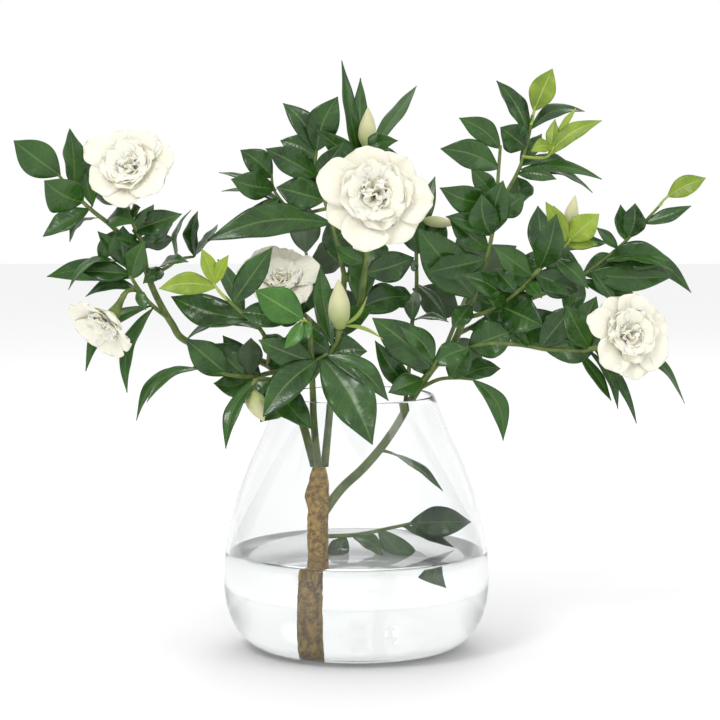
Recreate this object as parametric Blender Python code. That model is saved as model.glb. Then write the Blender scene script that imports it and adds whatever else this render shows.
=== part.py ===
"""A gardenia branch in bloom, standing in a round glass vase of water.

Every place on the plant is written as (across, up, depth) in millimetres: across and up are read
on the picture plane that stands on the vase's axis, and depth is how far behind that plane the
point lies. seen() turns the three into a point in space, along the line of sight of the picture.
"""

import math
import random

import bmesh
import bpy
from mathutils import Vector
from mathutils.bvhtree import BVHTree

# Driving dimensions, in millimetres
VASE_HEIGHT = 191.0
VASE_WALL = 2.6
VASE_FLOOR = 7.0
FOOT_RADIUS = 62.0
WATER_LEVEL = 75.0
TRUNK_RADIUS = 8.2
LEAF_THICKNESS = 0.8
PETAL_THICKNESS = 0.9
SEAT_GAP = 0.3
CLEARANCE = 0.5
LEAF_LIFT = 0.05
NARROW = 9.0
LEAF_FOLD = 0.16
PETAL_ROOT = 4.0
VIEW_DISTANCE = 2200.0
VIEW_HEIGHT = 450.0
VIEW_MIDDLE = (2.7, 217.9)
PICTURE_MIDDLE = (2.7, 214.5)
TO_METRES = 0.001

# The vase's outer wall, as (radius, height) from the foot to the rim
VASE_OUTLINE = ((FOOT_RADIUS, 0.0), (76.0, 3.0), (87.5, 11.5), (95.5, 25.0), (99.3, 41.0),
                (99.7, 57.0), (98.2, 77.0), (91.4, 109.0), (81.6, 137.0), (69.5, 164.0),
                (58.5, VASE_HEIGHT))

# Limbs that grow from the trunk: path, then the radius at the root and at the end
LIMBS = {
    "branch_middle": (((-23.8, 135, -16.5), (-21, 165, -6), (-17, 205, 0), (-11, 250, 4), (-9, 280, 4)),
                      3.1, 2.2),
    "branch_young": (((-28.5, 135, -23.5), (-31.5, 165, -32), (-33, 200, -44), (-34.5, 232, -50),
                      (-35.5, 246, -52)), 3.0, 1.6),
    "branch_left": (((-31.5, 135, -15.5), (-42, 172, -8), (-57, 205, -4), (-86, 217, -10),
                     (-128, 229, -24),
                     (-140, 245, -28), (-150, 262, -32), (-157, 280, -36), (-161, 293, -38)), 3.2, 2.2),
    "branch_right": (((-27, 96, -25), (-12, 117, -12), (4, 132, -6), (18, 148, 0), (30, 165, 4),
                      (42, 186, 6),
                      (57, 208, 6), (71, 224, 4), (80, 243, 2), (85, 252, 0)), 3.6, 2.4),
}

# Leafy stems. Each has the limb or stem it grows on, its own path and radii, and its leaves.
# A leaf is (root across, root up, tip across, tip up, how far the tip leans to the viewer,
# width, roll of the blade about its midrib in degrees, sideways bow of the midrib).
STEMS = {
    "stem_upper_left": ("branch_left", ((-161, 291, -38), (-178, 310, -46), (-192, 321, -52),
                                        (-205, 333, -56),
                                        (-214, 342, -58), (-224, 354, -60)), 2.0, 1.1, (
        (-222, 353, -257, 379, 6, 27, 8, 1), (-212, 341, -215, 388, -8, 21, 38, 0),
        (-205, 333, -234, 349, 22, 30, -18, 2), (-200, 328, -235, 307, 6, 17, 35, 0),
        (-194, 321, -215, 303, 10, 13, 66, -5), (-198, 330, -206, 372, -24, 18, 25, 2),
        (-188, 318, -166, 317, 18, 17, 28, 3), (-180, 312, -193, 288, -12, 13, 20, 0))),
    "stem_bloom_left": ("branch_left", ((-157, 280, -36), (-159, 296, -49), (-166, 314, -58),
                                        (-173, 332, -58), (-175, 344, -55)), 2.0, 1.7, (
        (-168, 311, -131, 324, 14, 18, 14, 0), (-173, 332, -204, 345, 26, 15, -35, -2),
        (-171, 322, -162, 329, 40, 14, 55, -1), (-165, 303, -137, 306, -16, 14, 20, -2),
        (-166, 306, -152, 331, 10, 14, 10, 0), (-160, 297, -137, 319, -20, 14, 40, 0),
        (-162, 300, -180, 306, 16, 12, 30, 0))),
    "stem_mid_left": ("branch_left", ((-141, 246, -28), (-152, 254, -40), (-162, 266, -48),
                                      (-169, 277, -50),
                                      (-174, 288, -50)), 1.8, 1.1, (
        (-170, 279, -207, 281, 4, 17, 22, 0), (-173, 287, -216, 267, 14, 13, 66, -9),
        (-168, 276, -232, 277, -26, 17, 8, -5), (-163, 267, -203, 262, -14, 11, 30, -6),
        (-154, 255, -203, 206, 26, 15, 30, -12), (-152, 254, -172, 190, 16, 14, 40, -7),
        (-173, 287, -194, 311, -8, 12, 12, 0))),
    "stem_thin_left": ("branch_left", ((-156, 277, -36), (-142, 284, -26), (-133, 290, -18),
                                       (-122, 292, -12)), 1.6, 1.0, (
        (-134, 289, -124, 327, -10, 12, 72, 4), (-121, 292, -119, 326, -8, 16, 48, 2),
        (-150, 281, -126, 288, 24, 13, 62, 3), (-145, 283, -160, 272, 20, 12, 15, 0),
        (-122, 292, -104, 316, -26, 13, 62, -2))),
    "stem_low_left": ("branch_left", ((-60, 206, -5), (-75, 202, -27), (-92, 203, -36), (-108, 206, -42),
                                      (-122, 209, -46)), 2.0, 1.2, (
        (-96, 203, -128, 230, 10, 24, 4, 0), (-120, 209, -165, 169, 14, 13, 52, -10),
        (-116, 208, -157, 183, 26, 10, 42, -7), (-84, 203, -109, 226, -12, 20, 10, 0),
        (-76, 203, -107, 197, -8, 19, 20, 5), (-80, 203, -79, 231, 12, 19, 175, 0),
        (-70, 204, -50, 190, 22, 15, 22, 0))),
    "stem_bud_low": ("branch_left", ((-48, 187, -6), (-52, 196, -30), (-62, 199, -48), (-72, 200, -58),
                                     (-78, 198, -62), (-78.5, 192, -63)), 1.7, 1.5, (
        (-74, 200, -98, 148, 4, 13, 35, -5), (-60, 199, -34, 163, 18, 24, 25, -4),
        (-66, 199, -92, 186, 12, 20, 30, 4), (-56, 197, -72, 168, 10, 24, 15, 4))),
    "stem_lime_left": ("branch_left", ((-66, 210, -6), (-66, 226, -30), (-74, 240, -46), (-86, 250, -56),
                                       (-99, 262, -62)), 1.8, 1.3, (
        (-93, 256.5, -63, 299, 12, 20, 8, 0), 
        (-80, 245, -139, 262, -22, 25, 14, 4), (-72, 237, -129, 228, -6, 18, 62, -9),
        (-84, 249, -104, 290, -34, 14, 20, 0), (-70, 233, -50, 214, 22, 18, 10, 0))),
    "stem_young": ("branch_young", ((-33.5, 212, -46), (-27, 216, -54), (-22, 219, -58)), 1.5, 1.1, (
        (-26, 217, 12, 151, 40, 35, 4, 4), (-23, 218, 24, 184, 18, 19, 24, 5),
        (-28, 215, -70, 172, 22, 26, 18, -3))),
    "stem_bud_middle": ("branch_young", ((-33, 200, -44), (-24, 213, -36), (-15, 227, -39),
                                         (-12.5, 237, -42)), 1.5, 1.6, (
        (-24, 214, 8, 221, 6, 24, 18, 4), (-20, 221, -48, 234, -14, 18, 5, 0),
        (-18, 224, -27, 285, -34, 16, 10, 2))),
    "stem_crown_left": ("branch_middle", ((-9, 277, 4), (-14, 303, 2), (-19, 322, 2), (-27, 342, 6),
                                          (-31, 360, 10),
                                          (-30, 372, 12)), 1.9, 1.2, (
        (-18, 317, -112, 304, 18, 26, 18, -7), (-24, 334, -60, 344, 2, 26, 12, 0),
        (-29, 352, -68, 373, 8, 22, 12, 0), (-30, 366, -57, 379, -8, 18, 8, -2),
        (-30, 371, -55, 407, -8, 18, 6, -4), (-15, 306, -1, 319, 12, 14, 15, 0),
        (-30, 371, -14, 412, 4, 25, 4, 3))),
    "stem_side_left": ("stem_crown_left", ((-22, 328, 3), (-40, 324, 14), (-54, 330, 20), (-63, 345, 22),
                                           (-64, 354, 22)), 1.4, 1.0, (
        (-63, 351, -87, 372, 2, 20, 6, -2), (-61, 343, -94, 350, 10, 22, 14, 2),
        (-60, 342, -103, 355, -16, 9, 60, 0), (-57, 336, -86, 313, 8, 14, 24, 0),
        (-50, 328, -101, 341, -22, 11, 60, -4), (-42, 324, -34, 353, -12, 18, 6, 0))),
    "stem_crown": ("branch_middle", ((-8, 274, 4), (2, 296, 8), (6, 330, 16), (7, 356, 18), (8, 371, 16)),
                   1.9, 1.7, (
        (7, 357, -30, 387, 22, 17, 6, 0), (6, 346, -11, 439, -12, 14, 42, 4),
        (6, 350, 3, 426, -14, 15, 22, 3),
        (8, 368, 45, 420, -6, 14, 38, -3), (8, 369, 31, 379, 10, 16, 20, 3),
        (7, 360, 37, 362, 4, 18, 12, 4),
        (4, 312, -2, 345, -22, 20, 5, 0), (3, 300, 25, 286, -14, 22, 4, 0))),
    "stem_bloom_top": ("branch_middle", ((-12, 245, 3), (0, 252, -6), (5, 266, -14), (7, 290, -24),
                                         (10, 315, -30),
                                         (13, 326, -36)), 2.0, 2.0, (
        (2, 256, 13, 302, -28, 22, 6, 3), (0, 252, 40, 262, -18, 24, 8, 3),
        (-4, 249, -24, 262, -18, 17, 6, 0),
        (7, 288, -16, 300, 4, 13, 8, 2))),
    "stem_dark": ("branch_right", ((36, 176, 5), (40, 214, 18), (42, 244, 28), (45, 268, 36),
                                   (45, 290, 40), (45, 306, 40), (49, 318, 36)), 1.7, 1.4, (
        (44, 303, 59, 352, -4, 15, 12, 0), (44, 272, 68, 243, 8, 10, 50, 2),
        (44, 266, 42, 243, 34, 14, 20, 0),
        (45, 282, 40, 290, 20, 8, 20, 0), (42, 244, 69, 243, 16, 10, 62, 2),
        (43, 256, 20, 268, 10, 16, 12, 0),
        (44, 296, 30, 338, -10, 18, 6, 0))),
    "stem_front": ("branch_right", ((39, 180, 5), (48, 198, -14), (56, 208, -24), (60, 214, -28)), 1.7,
                   1.1, (
        (56, 208, 12, 246, 18, 29, 2, -2), (44, 190, 14, 229, 8, 17, 8, 3),
        (50, 200, 24, 190, 20, 18, 12, 0),
        (58, 211, 85, 223, -8, 19, 12, 2))),
    "stem_hanging": ("branch_right", ((47, 193, 6), (62, 200, 0), (76, 201, -4), (88, 200, -6)), 1.6, 1.1,
                     (
        (87, 200, 110, 154, 10, 15, 14, 8), (70, 200, 85, 225, -4, 19, 4, 0),
        (80, 201, 108, 208, -12, 17, 20, 3))),
    "stem_low_right": ("branch_right", ((64, 216, 5), (84, 224, -8), (104, 227, -18), (124, 226, -24),
                                        (140, 223, -28),
                                        (158, 221, -32), (172, 222, -36), (181, 224, -38)), 2.0, 1.7, (
        (84, 224, 119, 237, 10, 30, 6, 0), (140, 223, 186, 235, 4, 31, 4, -2),
        (116, 227, 150, 250, -4, 30, 6, 0),
        (130, 225, 116, 237, 8, 9, 24, 0), (166, 221, 191, 184, 6, 10, 30, 0),
        (174, 222, 196, 178, 6, 9, 35, 4),
        (178, 223, 210, 167, -14, 9, 40, 2), (176, 223, 246, 182, -30, 11, 36, 14),
        (160, 221, 180, 262, -16, 22, 6, 0))),
    "stem_mid_right": ("branch_right", ((84, 250, 1), (90, 264, -6), (96, 284, -12), (99, 296, -14),
                                        (102, 310, -14),
                                        (104, 324, -10), (106, 344, -4), (107, 364, 0), (108, 375, 2)),
                                        1.9, 1.2, (
        (89, 261, 46, 313, 12, 35, -4, 0), (99, 296, 70, 320, 4, 20, 10, 0),
        (102, 309, 77, 331, -6, 20, 8, 0),
        (102, 308, 67, 322, 12, 16, 24, -2), (102, 310, 110, 349, 14, 24, 4, 2),
        (105, 336, 86, 358, 4, 16, 8, 0),
        (107, 358, 63, 373, 8, 23, 12, -3), (108, 373, 77, 396, 4, 18, 8, -3),
        (104, 322, 126, 338, -14, 20, 6, 0),
        (90, 264, 119, 272, -6, 19, 10, 3), (86, 256, 72, 238, 12, 16, 12, 0))),
    "stem_top_right": ("stem_mid_right", ((105, 330, -7), (112, 340, 10), (120, 352, 20), (126, 370, 24),
                                          (130, 386, 24),
                                          (132, 398, 22)), 1.6, 1.2, (
        (129, 383, 105, 424, 2, 17, 32, -2), (130, 387, 171, 401, -14, 14, 40, 6),
        (127, 374, 108, 389, 12, 24, 8, 0),
        (121, 354, 150, 350, 10, 12, 14, 2), (120, 352, 124, 332, -14, 22, 4, 0),
        (123, 360, 166, 357, -6, 12, 48, 5),
        (122, 357, 184, 350, 4, 12, 42, 4), (121, 354, 177, 340, -12, 12, 56, 7),
        (123, 359, 139, 384, -16, 13, 20, 0))),
    "stem_bud_right": ("branch_right", ((82, 246, 1), (96, 250, -8), (112, 258, -18), (128, 273, -28),
                                        (144, 290, -36),
                                        (152, 300, -38), (158, 308, -38)), 1.8, 1.5, (
        (137, 283, 150, 324, 14, 22, 2, -2), (146, 292, 174, 268, 12, 14, 12, 2),
        (124, 269, 161, 262, 6, 16, 20, 6),
        (120, 265, 104, 283, -4, 18, 10, 0), (132, 277, 103, 299, 8, 19, 16, 0),
        (140, 286, 136, 330, -22, 20, 6, 0),
        (128, 273, 139, 261, 22, 12, 4, 0), (148, 296, 188, 302, -8, 14, 30, 2),
        (112, 258, 98, 262, 14, 13, 6, 0),
        (134, 279, 166, 266, -10, 24, 4, 0), (118, 263, 138, 298, -20, 20, 4, 0),
        (108, 255, 140, 240, 12, 30, 4, 0))),
    "stem_far_right": ("branch_right", ((76, 234, 3), (100, 246, 22), (130, 260, 34), (160, 272, 40),
                                        (182, 287, 40),
                                        (198, 300, 38), (207, 309, 36), (216, 318, 34), (229, 332, 32)),
                                        1.9, 1.0, (
        (204, 306, 209, 332, 8, 19, 4, -2), (202, 304, 198, 331, 0, 14, 34, 2),
        (186, 290, 236, 289, 10, 23, 8, 3),
        (181, 286, 238, 281, 20, 14, 62, 5), (172, 279, 237, 277, 2, 22, 6, -2),
        (215, 317, 251, 330, 4, 12, 28, -2),
        (196, 298, 180, 314, 4, 9, 20, 0), (176, 282, 194, 257, 8, 13, 24, 0),
        (168, 276, 158, 246, 12, 18, 6, 0),
        (166, 275, 220, 254, -10, 13, 20, 0), (190, 293, 251, 265, -8, 15, 8, 10))),
    "stem_back_middle": ("branch_middle", ((-17, 205, 1), (-24, 226, 30), (-30, 252, 58), (-34, 276, 82),
                                           (-38, 296, 100)), 2.0, 1.2, (
        (-29, 250, 4, 262, -22, 27, 172, 0), (-32, 266, -68, 282, -24, 27, 172, 0),
        (-35, 281, 0, 304, -24, 26, 162, 0),
        (-38, 295, -40, 334, -20, 25, 172, 0), (-25, 230, -60, 222, -26, 26, 172, 0))),
    "stem_back_right": ("branch_right", ((57, 207, 7), (66, 222, 32), (74, 242, 58), (82, 262, 82),
                                         (88, 280, 104)), 2.0, 1.2, (
        (77, 250, 42, 268, -22, 27, 172, 0), (80, 258, 116, 266, -22, 26, 172, 0),
        (88, 279, 80, 316, -24, 26, 172, 0),
        (88, 279, 120, 300, -26, 25, 172, 0), (67, 224, 96, 212, -26, 26, 172, 0))),
    "stem_bloom_back": ("branch_middle", ((-14.5, 225, 2), (-30, 240, 8), (-45, 254, 10), (-54, 264, 10)),
                        1.9, 1.8, (
        (-40, 249, -66, 246, 8, 18, 10, 0),)),
    "stem_bloom_hanging": ("stem_mid_left", ((-160, 264, -46), (-166, 267, -57), (-172, 266, -64),
                                             (-175, 262, -67)), 1.6, 1.6, (
        (-164, 266.5, -158, 252, 8, 9, 10, 0),)),
    "stem_vase": ("branch_right", ((16, 146, 0), (22, 146, 6), (30, 143, 10)), 1.4, 1.0, (
        (28, 144, 65, 116, 4, 10, 52, 1),)),
    "stem_water": ("trunk", ((-27, 82, -22), (-6, 82, -12), (12, 87, -4), (31, 89, 0), (42, 92, 2)), 1.7,
                   1.2, (
        (40, 92, 86, 93, 4, 24, 10, 0), (34, 90, 73, 74, 4, 9, 30, 0), (16, 87.5, 53, 46, 6, 21, 6, 0),
        (-3, 82.5, 20, 66, 16, 14, 32, 3), (-8, 82, -19, 61, 12, 16, 10, 0))),
}

# Young lime-green shoots, each seated on the end or the side of a stem
LIME_SHOOTS = {
    "lime_left": ("stem_lime_left", ((-97, 260, -61), (-103, 266, -64), (-107, 272, -66)), 1.4, 1.0, (
        (-105, 269, -148, 268, 4, 17, 8, -3), (-106, 271, -116, 298, 2, 12, 14, 0),
        (-107, 271, -96, 293, 6, 11, 30, 0))),
    "lime_top": ("stem_top_right", ((131, 391, 23), (133, 400, 22), (134, 405, 21)), 1.3, 0.9, (
        (133, 401, 147, 433, 4, 20, 4, 0),)),
    "lime_twisted": ("stem_top_right", ((125, 367, 23.6), (134, 366, 16), (143, 367, 10), (148, 374, 8)),
                     1.3, 0.9, (
        (143, 367, 184, 394, 2, 14, 18, 4), (146, 371, 149, 395, -8, 10, 24, 0),
        (147, 373, 131, 371, 10, 11, 14, -3),
        (148, 374, 165, 404, -14, 7, 40, 0))),
    "lime_bud": ("stem_bud_right", ((150, 297, -37.4), (157, 301, -46), (160, 305, -50)), 1.3, 0.9, (
        (159, 304, 182, 324, 4, 20, 4, 0), (158, 303, 142, 333, -14, 14, 12, 0),
        (156, 301, 181, 301, 8, 9, 24, 0))),
    "lime_far": ("stem_far_right", ((227, 330, 32), (231, 335, 30), (235, 338, 29)), 1.1, 0.8, (
        (233, 337, 262, 351, 4, 16, 10, 1),)),
    "lime_hanging": ("branch_young", ((-35, 239, -51), (-38, 244, -58), (-42, 244, -64)), 1.3, 0.9, (
        (-40, 245, -76, 267, 8, 27, 4, 0), (-41, 244, -54, 223, 6, 11, 6, 2),
        (-39, 244, -36, 230, 10, 9, 8, 0))),
}

# Blooms: the stem that carries each, its middle, the way it faces (across, towards the viewer,
# up), the reach of its petals, how far they cup forward in degrees, and its outer petals as
# (clock angle in degrees from the right, length, width)
BLOOMS = {
    "bloom_top": ("stem_bloom_top", (14, 338, -54), (0.02, 1.0, 0.16), 42, 17, (
        (165, 47, 33), (208, 42, 29), (258, 46, 34), (306, 44, 36), (355, 45, 34), (48, 38, 33),
        (104, 38, 34))),
    "bloom_left": ("stem_bloom_left", (-168, 356, -58), (-0.24, 0.84, 0.46), 34, 22, (
        (148, 42, 23), (104, 34, 30), (56, 33, 30), (4, 38, 30), (316, 38, 31), (262, 36, 31),
        (206, 34, 28))),
    "bloom_right": ("stem_low_right", (201, 232, -46), (0.34, 0.86, 0.22), 34, 20, (
        (165, 40, 22), (122, 34, 28), (74, 34, 30), (24, 35, 31), (332, 36, 31), (280, 36, 28),
        (224, 36, 28))),
    "bloom_back": ("stem_bloom_back", (-57, 272, 4), (0.04, 0.74, 0.67), 27, 24, (
        (10, 34, 27), (75, 30, 28), (130, 32, 28), (180, 36, 28), (240, 32, 28), (305, 33, 28))),
    "bloom_hanging": ("stem_bloom_hanging", (-184, 247, -72), (-0.55, 0.52, -0.65), 25, 30, (
        (10, 32, 24), (65, 31, 24), (120, 31, 25), (172, 34, 25), (232, 34, 25), (290, 36, 25))),
}

# Closed buds: the stem that carries each, the end of the bud, its fullest width, and the narrow
# straps of its calyx as (root across, root up, tip across, tip up, lean, width, roll, bow)
BUDS = {
    "bud_crown": ("stem_crown", (8.7, 404, 14), 14.5, ()),
    "bud_middle": ("stem_bud_middle", (-13.5, 275, -46), 17, ((-11, 240, 8, 262, 10, 3, 10, -4),
                                                              (-11, 240, 20, 230, 12, 3, 10, 3))),
    "bud_low": ("stem_bud_low", (-69.4, 168.5, -66), 15.5, ((-79, 190, -94, 173, 8, 3, 10, -3),
                                                            (-79, 190, -66, 176, 10, 3, 10, 2))),
    "bud_small": ("stem_dark", (76.5, 316.5, 22), 9, ()),
    "bud_right": ("stem_bud_right", (164, 338, -44), 12, ((158, 311, 148, 330, 12, 3, 10, -2),)),
}


# Where the branch is dense, as (lowest and highest across, lowest and highest up), and how many
# more leaves each stem carries there
DENSE = ((-135, -20, 190, 300), (12, 168, 232, 345), (-95, -5, 300, 380), (-205, -150, 262, 345),
         (120, 225, 225, 300))
MORE_LEAVES = {
    "stem_mid_left": 2, "stem_low_left": 2, "stem_lime_left": 2, "stem_young": 1, "stem_bud_middle": 2,
    "stem_crown_left": 3, "stem_crown": 2, "stem_bloom_top": 1, "stem_dark": 4, "stem_front": 2,
    "stem_low_right": 3, "stem_mid_right": 4, "stem_bud_right": 3, "stem_far_right": 3,
    "stem_bloom_back": 2,
}


def more_leaves(number, points, count):
    """Leaves set by chance along a stem, where they stay inside the dense parts of the branch."""
    dice = random.Random(40 + number)
    leaves = []
    for attempt in range(count * 12):
        if len(leaves) == count:
            break
        index = dice.randrange(1, len(points))
        share = dice.random()
        across, up = (points[index - 1][axis] * (1 - share) + points[index][axis] * share for axis in (0,
                                                            1))
        angle = dice.uniform(-0.7, 3.8)
        reach = dice.uniform(32, 46)
        tip = (across + math.cos(angle) * reach, up + math.sin(angle) * reach * 0.9)
        shape = (dice.uniform(-26, 18), dice.uniform(17, 24), dice.uniform(-8, 30), dice.uniform(-4, 4))
        if any(left < tip[0] < right and low < tip[1] < high for left, right, low, high in DENSE):
            leaves.append((across, up, *tip, *shape))
    return leaves


def seen(across, up, depth):
    """The point of space, in metres, that the picture shows at (across, up), at that depth."""
    eye = Vector((VIEW_MIDDLE[0], -VIEW_DISTANCE, VIEW_HEIGHT))
    sight = Vector((VIEW_MIDDLE[0], 0.0, VIEW_MIDDLE[1])) - eye
    forward = sight.normalized()
    upward = Vector((1, 0, 0)).cross(forward)
    ray = sight + Vector((across - PICTURE_MIDDLE[0], 0, 0)) + upward * (up - PICTURE_MIDDLE[1])
    return (eye + ray * ((VIEW_DISTANCE + depth) / ray.y)) * TO_METRES


def smooth(points, count):
    """Points along a smooth curve that passes through all the given ones."""
    places = [Vector(point) for point in points]
    padded = [places[0] * 2 - places[1]] + places + [places[-1] * 2 - places[-2]]
    result = []
    for step in range(count):
        along = step / (count - 1) * (len(places) - 1)
        index = min(int(along), len(places) - 2)
        share = along - index
        before, start, end, after = padded[index:index + 4]
        result.append(0.5 * (2 * start + (end - before) * share
                             + (2 * before - 5 * start + 4 * end - after) * share ** 2
                             + (3 * start - before - 3 * end + after) * share ** 3))
    return result


def length_of(points):
    return sum((second - first).length for first, second in zip(points, points[1:]))


def make_object(name, vertices, faces):
    """A mesh object with its faces turned outwards."""
    mesh = bpy.data.meshes.new(name)
    mesh.from_pydata([tuple(place) for place in vertices], [], faces)
    shape = bmesh.new()
    shape.from_mesh(mesh)
    bmesh.ops.recalc_face_normals(shape, faces=shape.faces)
    shape.to_mesh(mesh)
    shape.free()
    piece = bpy.data.objects.new(name, mesh)
    bpy.context.scene.collection.objects.link(piece)
    return piece


def tube(path, radii, sides):
    """Vertices and faces of a closed tube along a path, with flat ends."""
    vertices = []
    faces = []
    side = Vector((0.31, 0.95, 0.05))
    for index, place in enumerate(path):
        ahead = path[min(index + 1, len(path) - 1)] - path[max(index - 1, 0)]
        ahead.normalize()
        side = (side - ahead * side.dot(ahead)).normalized()
        other = ahead.cross(side)
        for corner in range(sides):
            angle = math.tau * corner / sides
            vertices.append(place + (side * math.cos(angle) + other * math.sin(angle)) * radii[index])
    for ring in range(len(path) - 1):
        for corner in range(sides):
            a = ring * sides + corner
            b = ring * sides + (corner + 1) % sides
            faces.append((a, b, b + sides, a + sides))
    faces.append(tuple(range(sides)))
    faces.append(tuple(range(len(vertices) - sides, len(vertices))))
    return vertices, faces


def lathe(outline, sides):
    """Vertices and faces of a closed turned shape; the outline runs from axis to axis."""
    vertices = [Vector((0, 0, outline[0][1])), Vector((0, 0, outline[-1][1]))]
    faces = []
    rings = outline[1:-1]
    for radius, height in rings:
        for corner in range(sides):
            angle = math.tau * corner / sides
            vertices.append(Vector((radius * math.cos(angle), radius * math.sin(angle), height)))
    for corner in range(sides):
        after = (corner + 1) % sides
        faces.append((0, 2 + corner, 2 + after))
        last = 2 + (len(rings) - 1) * sides
        faces.append((1, last + after, last + corner))
        for ring in range(len(rings) - 1):
            a = 2 + ring * sides
            faces.append((a + corner, a + after, a + sides + after, a + sides + corner))
    return [place * TO_METRES for place in vertices], faces


def stem_path(points):
    """The centre line of a stem, with a point about every 23 mm."""
    places = [seen(*point) for point in points]
    count = max(4, round(length_of(places) / 0.023) + 1)
    return smooth(places, count)


def nearest(path, place, keep_off):
    """The point of a path that is nearest to a place, not closer to its root than keep_off."""
    best = None
    walked = 0.0
    whole = length_of(path)
    for first, second in zip(path, path[1:]):
        run = (second - first).length
        for step in range(13):
            share = step / 12
            point = first.lerp(second, share)
            if not keep_off <= walked + run * share <= whole - 0.0015:
                continue
            if best is None or (point - place).length < (best - place).length:
                best = point
        walked += run
    return best or path[-1].lerp(path[-2], 0.3)


def leaf_width(along):
    """Half of the blade's width, as a share of the fullest, from its root to its drawn-out tip."""
    return math.sin(math.pi * along) ** 0.85 * (1 - 0.35 * along ** 5)


def blade_shape(leaf, path, keep_off, slide):
    """The leaf's centre line, face directions and half widths, from the stem outwards."""
    root_across, root_up, tip_across, tip_up, lean, width, roll, bow = leaf
    guess = seen(root_across, root_up, 0)
    depth = min(path, key=lambda place: (place.x - guess.x) ** 2 + (place.z - guess.z) ** 2).y / TO_METRES
    root = seen(root_across, root_up, depth)
    seat = nearest(path, root, keep_off)
    root = seen(root_across, root_up, seat.y / TO_METRES)
    tip = seen(tip_across, tip_up, seat.y / TO_METRES - lean + slide)
    axis = tip - root
    span = axis.length
    axis.normalize()
    eye = Vector((VIEW_MIDDLE[0], -VIEW_DISTANCE, VIEW_HEIGHT)) * TO_METRES
    sight = (eye - root).normalized()
    face = (sight - axis * sight.dot(axis)).normalized()
    side = axis.cross(face)
    lift = side if side.z > 0 else -side
    turn = math.radians(roll)
    normal = face * math.cos(turn) + lift * math.sin(turn)
    cross = axis.cross(normal)
    stations = 2 if span < 0.020 else 3 if span < 0.045 else 4
    rows = []
    if (root - seat).length > 0.002:
        rows.append((seat - axis * 0.0003, cross, normal, 0.0009))
    else:
        root = seat - axis * 0.0003
    for step in range(stations + 1):
        along = step / stations
        rise = math.sin(math.pi * along)
        centre = root.lerp(tip, along)
        centre = centre - side * rise * bow * TO_METRES + normal * rise * LEAF_LIFT * span
        half = max(leaf_width(along) * width / 2 * TO_METRES, 0.0006)
        rows.append((centre, cross, normal, half))
    return rows


def blade_mesh(rows, thickness, fold, grow=0.0):
    """Vertices and faces of a blade, split alike on both faces; a wide one folds at its midrib."""
    widest = max(half for centre, cross, normal, half in rows)
    reaches = (-1, 0, 1) if widest > NARROW * TO_METRES else (-1, 1)
    line = len(reaches) * 2
    vertices = []
    faces = []
    for centre, cross, normal, half in rows:
        half += grow
        for reach in reaches:
            place = centre + cross * half * reach + normal * abs(reach) * half * fold
            vertices.append(place + normal * (thickness / 2 * TO_METRES + grow))
            vertices.append(place - normal * (thickness / 2 * TO_METRES + grow))
    for row in range(len(rows) - 1):
        for column in range(len(reaches) - 1):
            a = row * line + column * 2
            b = a + 2
            c = b + line
            d = a + line
            faces.extend(((a, b, c), (a, c, d), (a + 1, c + 1, b + 1), (a + 1, d + 1, c + 1)))
        for column in (0, line - 2):
            a = row * line + column
            faces.append((a, a + line, a + line + 1, a + 1))
    for row in (0, len(rows) - 1):
        for column in range(len(reaches) - 1):
            a = row * line + column * 2
            faces.append((a, a + 1, a + 3, a + 2))
    return vertices, faces


def tree_of(vertices, faces):
    return BVHTree.FromPolygons(vertices, faces, epsilon=0.0)


class Neighbours:
    """The shapes that stand already, kept by the node they belong to."""

    def __init__(self):
        self.shapes = {}

    def add(self, node, vertices, faces):
        self.shapes.setdefault(node, []).append(tree_of(vertices, faces))

    def blocked_by(self, vertices, faces, node):
        tree = tree_of(vertices, faces)
        for other, trees in self.shapes.items():
            if other == node or (other == "water" and node == "stem_water"):
                continue
            for each in trees:
                if tree.overlap(each):
                    return other
        return None


def clear_leaf(leaf, path, keep_off, node, standing):
    """Slides a leaf's tip along the line of sight until the blade is clear of every other node."""
    for slide in (0, -7, 7, -14, 14, -22, 22, -32, 32, -44, 44, -58, 58):
        rows = blade_shape(leaf, path, keep_off, slide)
        vertices, faces = blade_mesh(rows, LEAF_THICKNESS, LEAF_FOLD, CLEARANCE * TO_METRES)
        blocker = standing.blocked_by(vertices, faces, node)
        if blocker is None:
            return rows
    print("no clear place", node, leaf[:4], blocker)
    return None


def join(name, shapes):
    """One closed body from overlapping shapes; a blade that only grazes the others is left out."""
    singles = [(number,) for number in range(1, len(shapes))]
    pairs = [(low, high) for high in range(1, len(shapes)) for low in range(1, high)]
    for spare in [()] + singles + pairs:
        kept = [shape for index, shape in enumerate(shapes) if index not in spare]
        for solver in ("EXACT", "MANIFOLD"):
            body = union(name, kept, solver)
            if is_sound(body.data):
                if spare:
                    print("left out blades", spare, "of", name)
                return body
            bpy.data.objects.remove(body)
    print("not sound", name)
    return union(name, shapes, "MANIFOLD")


def union(name, shapes, solver):
    """The first shape, with all the others joined on by one Boolean union."""
    first = make_object(name, *shapes[0])
    if len(shapes) == 1:
        return first
    group = bpy.data.collections.new(name + "_pieces")
    bpy.context.scene.collection.children.link(group)
    for shape in shapes[1:]:
        piece = make_object(name + "_piece", *shape)
        bpy.context.scene.collection.objects.unlink(piece)
        group.objects.link(piece)
    fuse = first.modifiers.new("join", "BOOLEAN")
    fuse.operation = "UNION"
    fuse.operand_type = "COLLECTION"
    fuse.collection = group
    fuse.solver = solver
    apply_modifiers(first)
    for piece in list(group.objects):
        bpy.data.objects.remove(piece)
    bpy.data.collections.remove(group)
    return first


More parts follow.
